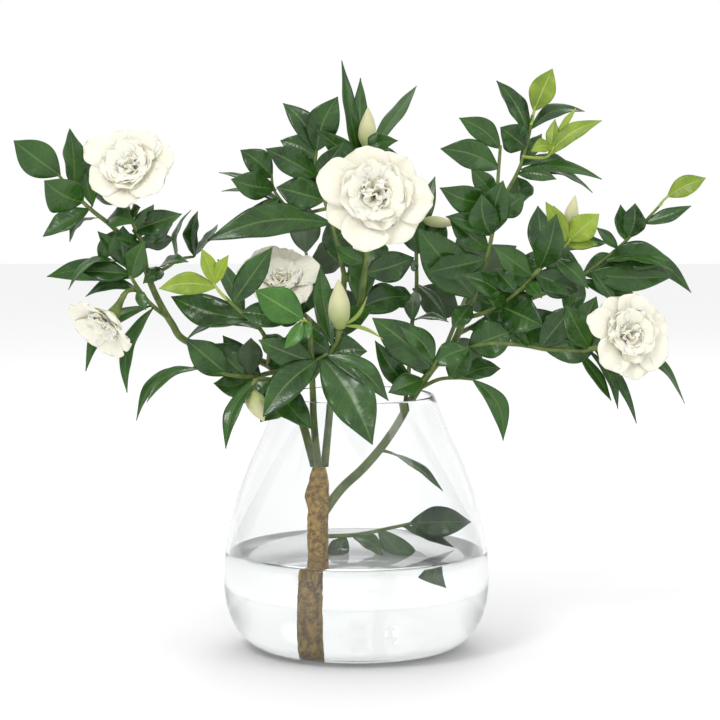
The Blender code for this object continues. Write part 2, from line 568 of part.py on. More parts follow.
def is_sound(mesh):
    """Whether a mesh is one closed body that nowhere touches itself."""
    keys = {}
    corners = []
    for vertex in mesh.vertices:
        key = tuple(round(value * 5e6) for value in vertex.co)
        corners.append(keys.setdefault(key, len(keys)))
    if len(keys) != len(mesh.vertices):
        return False
    edges = {}
    mesh.calc_loop_triangles()
    for number, triangle in enumerate(mesh.loop_triangles):
        loop = [corners[vertex] for vertex in triangle.vertices]
        for first, second in zip(loop, loop[1:] + loop[:1]):
            edges.setdefault((min(first, second), max(first, second)), []).append(number)
    if any(len(users) != 2 for users in edges.values()):
        return False
    links = {}
    for first, second in edges.values():
        links.setdefault(first, []).append(second)
        links.setdefault(second, []).append(first)
    reached = {0}
    heap = [0]
    while heap:
        for other in links[heap.pop()]:
            if other not in reached:
                reached.add(other)
                heap.append(other)
    return len(reached) == len(mesh.loop_triangles)


def cut(piece, cutter):
    """Takes one shape out of another, and keeps the largest body that is left."""
    away = piece.modifiers.new("cut", "BOOLEAN")
    away.operation = "DIFFERENCE"
    away.object = cutter
    away.solver = "EXACT"
    apply_modifiers(piece)
    bpy.data.objects.remove(cutter)
    keep_largest(piece)


def apply_modifiers(piece):
    """Turns the piece's modifiers into plain mesh."""
    depsgraph = bpy.context.evaluated_depsgraph_get()
    mesh = bpy.data.meshes.new_from_object(piece.evaluated_get(depsgraph))
    piece.modifiers.clear()
    piece.data = mesh


def keep_largest(piece):
    """Removes crumbs that a cut has left behind."""
    shape = bmesh.new()
    shape.from_mesh(piece.data)
    left = set(shape.faces)
    groups = []
    while left:
        heap = [left.pop()]
        group = set(heap)
        while heap:
            for edge in heap.pop().edges:
                for other in edge.link_faces:
                    if other not in group:
                        group.add(other)
                        heap.append(other)
        left -= group
        groups.append(group)
    groups.sort(key=lambda group: sum(face.calc_area() for face in group))
    for group in groups[:-1]:
        if len(group) > 5:
            print("left out a loose piece of", piece.name, len(group),
                  list(group)[0].calc_center_median())
        bmesh.ops.delete(shape, geom=list(group), context="FACES")
    shape.to_mesh(piece.data)
    shape.free()


def make_material(name, colour, roughness, transmission=0.0, alpha=1.0):
    """A Principled material with one colour and one roughness."""
    material = bpy.data.materials.new(name)
    material.use_nodes = True
    shader = material.node_tree.nodes["Principled BSDF"]
    shader.inputs["Base Color"].default_value = (*colour, 1.0)
    shader.inputs["Roughness"].default_value = roughness
    shader.inputs["Transmission Weight"].default_value = transmission
    shader.inputs["Alpha"].default_value = alpha
    return material


def sizes_along(count, first, last, end=None):
    """Radii from first to last in metres, with a swelling at the end where a bloom sits."""
    radii = [(first + (last - first) * index / (count - 1)) * TO_METRES for index in range(count)]
    if end:
        radii[-1] = end * TO_METRES
    return radii


def inner_wall():
    """The vase's inner wall from the floor to the rim, as (radius, height)."""
    wall = [(radius - VASE_WALL, height) for radius, height in VASE_OUTLINE if height > VASE_FLOOR + 3]
    return [(wall[0][0] - 12, VASE_FLOOR)] + wall


def make_vase(standing):
    outer = [(0, 0)] + list(VASE_OUTLINE)
    rim = [(VASE_OUTLINE[-1][0] - VASE_WALL * 0.5, VASE_HEIGHT + 1.0)]
    inner = list(reversed(inner_wall())) + [(0, VASE_FLOOR)]
    vertices, faces = lathe(outer + rim + inner, 28)
    standing.add("vase", vertices, faces)
    standing.add("water", *lathe(water_outline(SEAT_GAP), 28))
    return make_object("vase", vertices, faces)


def water_outline(gap):
    """The water's outline, off the glass by a gap, up to its level surface."""
    wall = [(radius - gap, height) for radius, height in inner_wall() if height < WATER_LEVEL]
    wall[0] = (wall[0][0], VASE_FLOOR + gap)
    outer = [point for point in inner_wall() if point[1] > WATER_LEVEL][0]
    below = wall[-1]
    share = (WATER_LEVEL - below[1]) / (outer[1] - below[1])
    edge = (below[0] + (outer[0] - gap - below[0]) * share, WATER_LEVEL)
    return [(0, VASE_FLOOR + gap)] + wall + [edge, (0, WATER_LEVEL)]


TRUNK_PATH = ((-28.1, -29.0, VASE_FLOOR + SEAT_GAP), (-28.6, -28.6, 34.0), (-28.2, -28.0, 64.0),
              (-28.8, -26.5, 92.0), (-28.4, -23.5, 112.0), (-28.0, -20.5, 128.0), (-28.0, -19.3, 139.0))
TRUNK_SIZES = (8.6, 8.2, 8.0, 8.1, 8.0, 8.3, 8.0)


def trunk_shape(extra=0.0, below=0.0):
    """The trunk's path and radii, thicker by extra, and longer at the foot by below."""
    path = [Vector(point) * TO_METRES for point in TRUNK_PATH]
    path[0].z -= below * TO_METRES
    radii = [(size + extra) * TO_METRES for size in TRUNK_SIZES]
    return path, radii


def pocket(vertices):
    """The rounded room that the water leaves for a leaf that dips into it."""
    shape = bmesh.new()
    for place in vertices:
        shape.verts.new(place)
    hull = bmesh.ops.convex_hull(shape, input=shape.verts)
    spare = [item for item in hull["geom_interior"] if isinstance(item, bmesh.types.BMVert)]
    bmesh.ops.delete(shape, geom=spare, context="VERTS")
    bmesh.ops.recalc_face_normals(shape, faces=shape.faces)
    shape.normal_update()
    for corner in shape.verts:
        corner.co += corner.normal * 0.0008
    mesh = bpy.data.meshes.new("pocket")
    shape.to_mesh(mesh)
    shape.free()
    piece = bpy.data.objects.new("pocket", mesh)
    bpy.context.scene.collection.objects.link(piece)
    return piece


def bud_mesh(seat, ahead, tip, width):
    """A closed bud: a short neck on the stem's end, then a body that swells and narrows."""
    start = seat + ahead * SEAT_GAP * TO_METRES
    neck = start + ahead * 0.002
    span = tip - neck
    path = [start, neck]
    radii = [0.0016, 0.0021]
    for along, share in ((0.16, 0.66), (0.38, 1.0), (0.62, 0.92), (0.84, 0.55), (1.0, 0.12)):
        path.append(neck + span * along)
        radii.append(width / 2 * share * TO_METRES)
    return tube(path, radii, 8)


def petal_rows(middle, facing, clock, length, width, cup, curl):
    """One petal: its centre line from the bloom's heart outwards, cupped forward, with a rolled tip."""
    right = Vector((1, 0, 0))
    up = facing.cross(right).normalized()
    if up.z < 0:
        up = -up
    right = up.cross(facing)
    right = right if right.x > 0 else -right
    angle = math.radians(clock)
    outward = right * math.cos(angle) + up * math.sin(angle)
    cross = outward.cross(facing).normalized()
    rows = []
    root = PETAL_ROOT
    place = middle + outward * root * TO_METRES
    for along, share in ((0.0, 0.22), (0.36, 0.80), (0.72, 1.0), (1.0, 0.52)):
        pitch = math.radians(cup + (1 - along) * 20 - curl * along ** 2)
        ahead = outward * math.cos(pitch) + facing * math.sin(pitch)
        normal = facing * math.cos(pitch) - outward * math.sin(pitch)
        if along:
            place = place + ahead * (along - before) * (length - root) * TO_METRES
        before = along
        rows.append((place.copy(), cross, normal, width / 2 * share * TO_METRES))
    return rows


def whorls(reach, cup, outer):
    """All petals of a bloom, as (clock angle, length, width, cup, curl, forward shift)."""
    petals = []
    for index, (clock, length, width) in enumerate(outer):
        petals.append((clock, length, width, cup, 30, -2.0 if index % 2 else 0.0))
    inner = 3 if len(outer) > 6 else 0
    for index in range(inner):
        petals.append((360 / inner * index + 25, reach * 0.68, reach * 0.62, cup + 26, 14, 2.5))
    return petals


def heart(middle, facing, reach):
    """The closed, furled inner petals as one solid, from behind the bloom to its tip."""
    path = [middle - facing * 0.005, middle, middle + facing * 0.006, middle + facing * 0.013]
    wide = reach * TO_METRES
    return path, [0.0046, wide * 0.17, wide * 0.22, wide * 0.10]


def bloom_meshes(seat, ahead, entry, nudge=0.0):
    """The neck, the heart and the petals of one bloom, as vertices and faces."""
    middle = seen(*entry[1])
    facing = Vector((entry[2][0], -entry[2][1], entry[2][2])).normalized()
    start = seat + ahead * SEAT_GAP * TO_METRES
    path, radii = heart(middle, facing, entry[3])
    shapes = [tube([start, start + ahead * 0.002] + path, [0.0020, 0.0026] + radii, 8)]
    for clock, length, width, cup, curl, forward in whorls(entry[3], entry[4] + nudge, entry[5]):
        root = middle + facing * forward * TO_METRES
        rows = petal_rows(root, facing, clock, length, width, cup, curl)
        shapes.append(blade_mesh(rows, PETAL_THICKNESS, 0.10))
    return shapes


def sound_bloom(name, seat, ahead, entry):
    """The bloom's shapes, cupped a little more or less where its petals would only graze."""
    for nudge in (0.0, 1.5, -1.5, 3.0, -3.0, 4.5, -4.5, 6.0, -6.0):
        shapes = bloom_meshes(seat, ahead, entry, nudge)
        body = union(name, shapes, "EXACT")
        good = is_sound(body.data)
        bpy.data.objects.remove(body)
        if good:
            print(name, "cupped by", nudge)
            return shapes
    return bloom_meshes(seat, ahead, entry)


def stem_end(path):
    return path[-1], (path[-1] - path[-2]).normalized()


def build():
    """Makes every node: first the woody frame, then flowers and buds, then stems with leaves."""
    for piece in list(bpy.data.objects):
        bpy.data.objects.remove(piece)
    random.seed(7)
    glass = make_material("clear_glass", (0.95, 0.97, 0.97), 0.02, 1.0)
    liquid = make_material("clear_water", (0.90, 0.95, 0.95), 0.02, 1.0, 0.6)
    bark = make_material("tan_bark", (0.33, 0.24, 0.14), 0.8)
    green_wood = make_material("green_stem", (0.16, 0.22, 0.07), 0.5)
    leaf_green = make_material("dark_leaf", (0.035, 0.10, 0.03), 0.3)
    lime = make_material("young_leaf", (0.35, 0.50, 0.06), 0.4)
    cream = make_material("cream_petal", (0.90, 0.88, 0.78), 0.6)
    bud_cream = make_material("bud_cream", (0.72, 0.74, 0.45), 0.5)
    standing = Neighbours()
    nodes = {}
    nodes["vase"] = make_vase(standing)
    nodes["vase"].data.materials.append(glass)

    trunk_path, trunk_radii = trunk_shape()
    vertices, faces = tube(trunk_path, trunk_radii, 12)
    standing.add("trunk", vertices, faces)
    nodes["trunk"] = make_object("trunk", vertices, faces)
    nodes["trunk"].data.materials.append(bark)

    paths = {"trunk": (trunk_path, trunk_radii, 12)}
    carriers = {entry[0]: entry[1] for entry in BLOOMS.values()}
    carriers.update({entry[0]: entry[1] for entry in BUDS.values()})
    for name, (points, first, last) in LIMBS.items():
        path = stem_path(points)
        paths[name] = (path, sizes_along(len(path), first, last), 8)
    for table in (STEMS, LIME_SHOOTS):
        for name, (parent, points, first, last, leaves) in table.items():
            path = stem_path(points)
            end = 2.4 if name in carriers else None
            paths[name] = (path, sizes_along(len(path), first, last, end), 6)
    for name, (path, radii, sides) in paths.items():
        if name != "trunk":
            standing.add(name, *tube(path, radii, sides))

    flower_shapes = {}
    for name, entry in BLOOMS.items():
        seat, ahead = stem_end(paths[entry[0]][0])
        flower_shapes[name] = sound_bloom(name, seat, ahead, entry)
        for shape in flower_shapes[name]:
            standing.add(name, *shape)
    for name, (stem, tip, width, straps) in BUDS.items():
        path = paths[stem][0]
        seat, ahead = stem_end(path)
        body = bud_mesh(seat, ahead, seen(*tip), width)
        standing.add(name, *body)
        flower_shapes[name] = [body]
    for name, (stem, tip, width, straps) in BUDS.items():
        seat, ahead = stem_end(paths[stem][0])
        middle = [seat + ahead * 0.0035, seat + ahead * 0.0060]
        for strap in straps:
            rows = clear_leaf(strap, middle, 0.0, name, standing)
            if rows:
                shape = blade_mesh(rows, LEAF_THICKNESS, 0.0)
                standing.add(name, *shape)
                flower_shapes[name].append(shape)

    leaf_shapes = {}
    order = []
    for table in (LIME_SHOOTS, STEMS):
        for name, (parent, points, first, last, leaves) in table.items():
            keep_off = paths[parent][1][0] + 0.004
            for leaf in leaves:
                order.append((name, leaf, keep_off))
    order.sort(key=lambda item: item[0].startswith("stem_back"))
    for number, (name, count) in enumerate(MORE_LEAVES.items()):
        keep_off = paths[STEMS[name][0]][1][0] + 0.004
        order.extend((name, leaf, keep_off) for leaf in more_leaves(number, STEMS[name][1], count))
    for name, leaf, keep_off in order:
        rows = clear_leaf(leaf, paths[name][0], keep_off, name, standing)
        if rows:
            shape = blade_mesh(rows, LEAF_THICKNESS, LEAF_FOLD)
            standing.add(name, *shape)
            leaf_shapes.setdefault(name, []).append(shape)

    parents = {name: "trunk" for name in LIMBS}
    for table in (STEMS, LIME_SHOOTS):
        parents.update({name: entry[0] for name, entry in table.items()})
    for name, parent in parents.items():
        path, radii, sides = paths[name]
        stalk = make_object(name, *tube(path, radii, sides))
        parent_path, parent_radii, parent_sides = paths[parent]
        swell = SEAT_GAP / math.cos(math.pi / parent_sides) * TO_METRES
        ahead = (parent_path[-1] - parent_path[-2]).normalized() * SEAT_GAP * TO_METRES
        fat_path = parent_path[:-1] + [parent_path[-1] + ahead]
        fat_radii = [radius + swell for radius in parent_radii]
        fat = make_object("fat", *tube(fat_path, fat_radii, parent_sides))
        cut(stalk, fat)
        stalk_shape = ([corner.co.copy() for corner in stalk.data.vertices],
                       [tuple(face.vertices) for face in stalk.data.polygons])
        bpy.data.objects.remove(stalk)
        body = join(name, [stalk_shape] + leaf_shapes.get(name, []))
        body.data.materials.clear()
        body.data.materials.append(green_wood if name in LIMBS else
                                   lime if name in LIME_SHOOTS else leaf_green)
        nodes[name] = body
    for name, shapes in flower_shapes.items():
        body = join(name, shapes)
        body.data.materials.clear()
        body.data.materials.append(cream if name in BLOOMS else bud_cream)
        nodes[name] = body

    vertices, faces = lathe(water_outline(SEAT_GAP), 28)
    water = make_object("water", vertices, faces)
    path, radii = trunk_shape(SEAT_GAP * 1.2, 6.0)
    cut(water, make_object("hole", *tube(path, radii, 12)))
    for vertices, faces in leaf_shapes.get("stem_water", []):
        if min(place.z for place in vertices) < (WATER_LEVEL + 0.5) * TO_METRES:
            cut(water, pocket(vertices))
    water.data.materials.append(liquid)
    nodes["water"] = water
    for name, node in nodes.items():
        node.name = name
        for face in node.data.polygons:
            face.use_smooth = name in ("vase", "water", "trunk") or name in LIMBS
    total = sum(len(face.vertices) - 2 for node in nodes.values() for face in node.data.polygons)
    print("nodes", len(nodes), "triangles", total)


build()
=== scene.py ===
# %% [markdown]
# This lesson makes a cut gardenia branch that stands in a round glass vase of water. The solids
# of the model come in first as a fixed frame. Each leaf, petal and stem is then made finer on the
# same place, so that the branch keeps its shape from every side.

import math
import random

import bmesh
import bpy
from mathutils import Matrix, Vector, noise as rough
from mathutils.bvhtree import BVHTree


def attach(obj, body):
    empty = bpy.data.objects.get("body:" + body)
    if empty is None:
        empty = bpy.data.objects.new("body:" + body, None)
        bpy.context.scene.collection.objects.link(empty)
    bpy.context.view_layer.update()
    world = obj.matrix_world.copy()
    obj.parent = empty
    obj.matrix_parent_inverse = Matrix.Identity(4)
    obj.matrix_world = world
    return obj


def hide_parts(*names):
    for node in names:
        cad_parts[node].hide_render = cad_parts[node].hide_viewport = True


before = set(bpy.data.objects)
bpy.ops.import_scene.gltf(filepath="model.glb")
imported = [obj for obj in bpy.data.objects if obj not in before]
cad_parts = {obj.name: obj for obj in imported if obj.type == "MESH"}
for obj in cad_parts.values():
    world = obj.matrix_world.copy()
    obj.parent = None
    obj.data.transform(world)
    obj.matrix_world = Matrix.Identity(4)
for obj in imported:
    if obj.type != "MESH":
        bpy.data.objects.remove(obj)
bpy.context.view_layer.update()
print("solids in the frame:", len(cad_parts))

# %% [markdown]
# The camera looks from a little above the rim, far away, with a long lens. A point of the
# picture and a depth then give one point in space. The whole branch is laid out that way, so a
# leaf can lean towards the viewer without leaving its place in the picture.

# %% Name the sizes
# All in millimetres, but for the lift and the fold of a leaf, which are shares of its size
VASE_HEIGHT = 191.0
VASE_WALL = 2.6
VASE_FLOOR = 7.0
FOOT_RADIUS = 62.0
WATER_LEVEL = 75.0
LEAF_THICKNESS = 0.8
PETAL_THICKNESS = 0.9
SEAT_GAP = 0.3
CLEARANCE = 0.5
LEAF_LIFT = 0.05
NARROW = 9.0
LEAF_FOLD = 0.16
PETAL_ROOT = 4.0
VIEW_DISTANCE = 2200.0
VIEW_HEIGHT = 450.0
VIEW_MIDDLE = (2.7, 217.9)
PICTURE_MIDDLE = (2.7, 214.5)
TO_METRES = 0.001
print("vase height and water level in mm:", VASE_HEIGHT, WATER_LEVEL)

# %% Find a point in space from the picture
def seen(across, up, depth):
    """The point of space, in metres, that the picture shows at (across, up), at that depth."""
    eye = Vector((VIEW_MIDDLE[0], -VIEW_DISTANCE, VIEW_HEIGHT))
    sight = Vector((VIEW_MIDDLE[0], 0.0, VIEW_MIDDLE[1])) - eye
    forward = sight.normalized()
    upward = Vector((1, 0, 0)).cross(forward)
    ray = sight + Vector((across - PICTURE_MIDDLE[0], 0, 0)) + upward * (up - PICTURE_MIDDLE[1])
    return (eye + ray * ((VIEW_DISTANCE + depth) / ray.y)) * TO_METRES


print("the picture's middle in space:", seen(*PICTURE_MIDDLE, 0))

# %% [markdown]
# A grown branch has no rule that gives each leaf its place, so each stem and leaf is written down
# once, as someone would draw it: where it starts, where it ends, how wide it is, how it rolls.

# %% Lay out the vase's outline
# The vase's outer wall, as (radius, height) from the foot to the rim
VASE_OUTLINE = ((FOOT_RADIUS, 0.0), (76.0, 3.0), (87.5, 11.5), (95.5, 25.0), (99.3, 41.0),
                (99.7, 57.0), (98.2, 77.0), (91.4, 109.0), (81.6, 137.0), (69.5, 164.0),
                (58.5, VASE_HEIGHT))
print("widest radius of the vase in mm:", max(radius for radius, height in VASE_OUTLINE))

# %% Lay out the limbs
# Limbs that grow from the trunk: path, then the radius at the root and at the end
LIMBS = {
    "branch_middle": (((-23.8, 135, -16.5), (-21, 165, -6), (-17, 205, 0), (-11, 250, 4),
        (-9, 280, 4)), 3.1, 2.2),
    "branch_young": (((-28.5, 135, -23.5), (-31.5, 165, -32), (-33, 200, -44), (-34.5, 232, -50),
        (-35.5, 246, -52)), 3.0, 1.6),
    "branch_left": (((-31.5, 135, -15.5), (-42, 172, -8), (-57, 205, -4), (-86, 217, -10),
        (-128, 229, -24), (-140, 245, -28), (-150, 262, -32), (-157, 280, -36), (-161, 293, -38)),
        3.2, 2.2),
    "branch_right": (((-27, 96, -25), (-12, 117, -12), (4, 132, -6), (18, 148, 0), (30, 165, 4),
        (42, 186, 6), (57, 208, 6), (71, 224, 4), (80, 243, 2), (85, 252, 0)), 3.6, 2.4),
}
print("limbs:", len(LIMBS))

# %% Lay out the leafy stems on the left
# Leafy stems. Each has the limb or stem it grows on, its own path and radii, and its leaves.
# A leaf is (root across, root up, tip across, tip up, how far the tip leans to the viewer,
# width, roll of the blade about its midrib in degrees, sideways bow of the midrib).
STEMS = {
    "stem_upper_left": ("branch_left", ((-161, 291, -38), (-178, 310, -46), (-192, 321, -52),
        (-205, 333, -56), (-214, 342, -58), (-224, 354, -60)), 2.0, 1.1,
        ((-222, 353, -257, 379, 6, 27, 8, 1), (-212, 341, -215, 388, -8, 21, 38, 0),
        (-205, 333, -234, 349, 22, 30, -18, 2), (-200, 328, -235, 307, 6, 17, 35, 0),
        (-194, 321, -215, 303, 10, 13, 66, -5), (-198, 330, -206, 372, -24, 18, 25, 2),
        (-188, 318, -166, 317, 18, 17, 28, 3), (-180, 312, -193, 288, -12, 13, 20, 0))),
    "stem_bloom_left": ("branch_left", ((-157, 280, -36), (-159, 296, -49), (-166, 314, -58),
        (-173, 332, -58), (-175, 344, -55)), 2.0, 1.7, ((-168, 311, -131, 324, 14, 18, 14, 0),
        (-173, 332, -204, 345, 26, 15, -35, -2), (-171, 322, -162, 329, 40, 14, 55, -1),
        (-165, 303, -137, 306, -16, 14, 20, -2), (-166, 306, -152, 331, 10, 14, 10, 0),
        (-160, 297, -137, 319, -20, 14, 40, 0), (-162, 300, -180, 306, 16, 12, 30, 0))),
    "stem_mid_left": ("branch_left", ((-141, 246, -28), (-152, 254, -40), (-162, 266, -48),
        (-169, 277, -50), (-174, 288, -50)), 1.8, 1.1, ((-170, 279, -207, 281, 4, 17, 22, 0),
        (-173, 287, -216, 267, 14, 13, 66, -9), (-168, 276, -232, 277, -26, 17, 8, -5),
        (-163, 267, -203, 262, -14, 11, 30, -6), (-154, 255, -203, 206, 26, 15, 30, -12),
        (-152, 254, -172, 190, 16, 14, 40, -7), (-173, 287, -194, 311, -8, 12, 12, 0))),
    "stem_thin_left": ("branch_left", ((-156, 277, -36), (-142, 284, -26), (-133, 290, -18),
        (-122, 292, -12)), 1.6, 1.0, ((-134, 289, -124, 327, -10, 12, 72, 4),
        (-121, 292, -119, 326, -8, 16, 48, 2), (-150, 281, -126, 288, 24, 13, 62, 3),
        (-145, 283, -160, 272, 20, 12, 15, 0), (-122, 292, -104, 316, -26, 13, 62, -2))),
    "stem_low_left": ("branch_left", ((-60, 206, -5), (-75, 202, -27), (-92, 203, -36),
        (-108, 206, -42), (-122, 209, -46)), 2.0, 1.2, ((-96, 203, -128, 230, 10, 24, 4, 0),
        (-120, 209, -165, 169, 14, 13, 52, -10), (-116, 208, -157, 183, 26, 10, 42, -7),
        (-84, 203, -109, 226, -12, 20, 10, 0), (-76, 203, -107, 197, -8, 19, 20, 5),
        (-80, 203, -79, 231, 12, 19, 175, 0), (-70, 204, -50, 190, 22, 15, 22, 0))),
    "stem_bud_low": ("branch_left", ((-48, 187, -6), (-52, 196, -30), (-62, 199, -48),
        (-72, 200, -58), (-78, 198, -62), (-78.5, 192, -63)), 1.7, 1.5,
        ((-74, 200, -98, 148, 4, 13, 35, -5), (-60, 199, -34, 163, 18, 24, 25, -4),
        (-66, 199, -92, 186, 12, 20, 30, 4), (-56, 197, -72, 168, 10, 24, 15, 4))),
    "stem_lime_left": ("branch_left", ((-66, 210, -6), (-66, 226, -30), (-74, 240, -46),
        (-86, 250, -56), (-99, 262, -62)), 1.8, 1.3, ((-93, 256.5, -63, 299, 12, 20, 8, 0),
        (-80, 245, -139, 262, -22, 25, 14, 4), (-72, 237, -129, 228, -6, 18, 62, -9),
        (-84, 249, -104, 290, -34, 14, 20, 0), (-70, 233, -50, 214, 22, 18, 10, 0))),
}
print("leafy stems on the left:", len(STEMS))

# %% Add the leafy stems in the middle
STEMS.update({
    "stem_young": ("branch_young", ((-33.5, 212, -46), (-27, 216, -54), (-22, 219, -58)), 1.5, 1.1,
        ((-26, 217, 12, 151, 40, 35, 4, 4), (-23, 218, 24, 184, 18, 19, 24, 5),
        (-28, 215, -70, 172, 22, 26, 18, -3))),
    "stem_bud_middle": ("branch_young", ((-33, 200, -44), (-24, 213, -36), (-15, 227, -39),
        (-12.5, 237, -42)), 1.5, 1.6, ((-24, 214, 8, 221, 6, 24, 18, 4),
        (-20, 221, -48, 234, -14, 18, 5, 0), (-18, 224, -27, 285, -34, 16, 10, 2))),
    "stem_crown_left": ("branch_middle", ((-9, 277, 4), (-14, 303, 2), (-19, 322, 2), (-27, 342, 6),
        (-31, 360, 10), (-30, 372, 12)), 1.9, 1.2, ((-18, 317, -112, 304, 18, 26, 18, -7),
        (-24, 334, -60, 344, 2, 26, 12, 0), (-29, 352, -68, 373, 8, 22, 12, 0),
        (-30, 366, -57, 379, -8, 18, 8, -2), (-30, 371, -55, 407, -8, 18, 6, -4),
        (-15, 306, -1, 319, 12, 14, 15, 0), (-30, 371, -14, 412, 4, 25, 4, 3))),
    "stem_side_left": ("stem_crown_left", ((-22, 328, 3), (-40, 324, 14), (-54, 330, 20),
        (-63, 345, 22), (-64, 354, 22)), 1.4, 1.0, ((-63, 351, -87, 372, 2, 20, 6, -2),
        (-61, 343, -94, 350, 10, 22, 14, 2), (-60, 342, -103, 355, -16, 9, 60, 0),
        (-57, 336, -86, 313, 8, 14, 24, 0), (-50, 328, -101, 341, -22, 11, 60, -4),
        (-42, 324, -34, 353, -12, 18, 6, 0))),
    "stem_crown": ("branch_middle", ((-8, 274, 4), (2, 296, 8), (6, 330, 16), (7, 356, 18),
        (8, 371, 16)), 1.9, 1.7, ((7, 357, -30, 387, 22, 17, 6, 0),
        (6, 346, -11, 439, -12, 14, 42, 4), (6, 350, 3, 426, -14, 15, 22, 3),
        (8, 368, 45, 420, -6, 14, 38, -3), (8, 369, 31, 379, 10, 16, 20, 3),
        (7, 360, 37, 362, 4, 18, 12, 4), (4, 312, -2, 345, -22, 20, 5, 0),
        (3, 300, 25, 286, -14, 22, 4, 0))),
    "stem_bloom_top": ("branch_middle", ((-12, 245, 3), (0, 252, -6), (5, 266, -14), (7, 290, -24),
        (10, 315, -30), (13, 326, -36)), 2.0, 2.0, ((2, 256, 13, 302, -28, 22, 6, 3),
        (0, 252, 40, 262, -18, 24, 8, 3), (-4, 249, -24, 262, -18, 17, 6, 0),
        (7, 288, -16, 300, 4, 13, 8, 2))),
})
print("leafy stems with those in the middle:", len(STEMS))

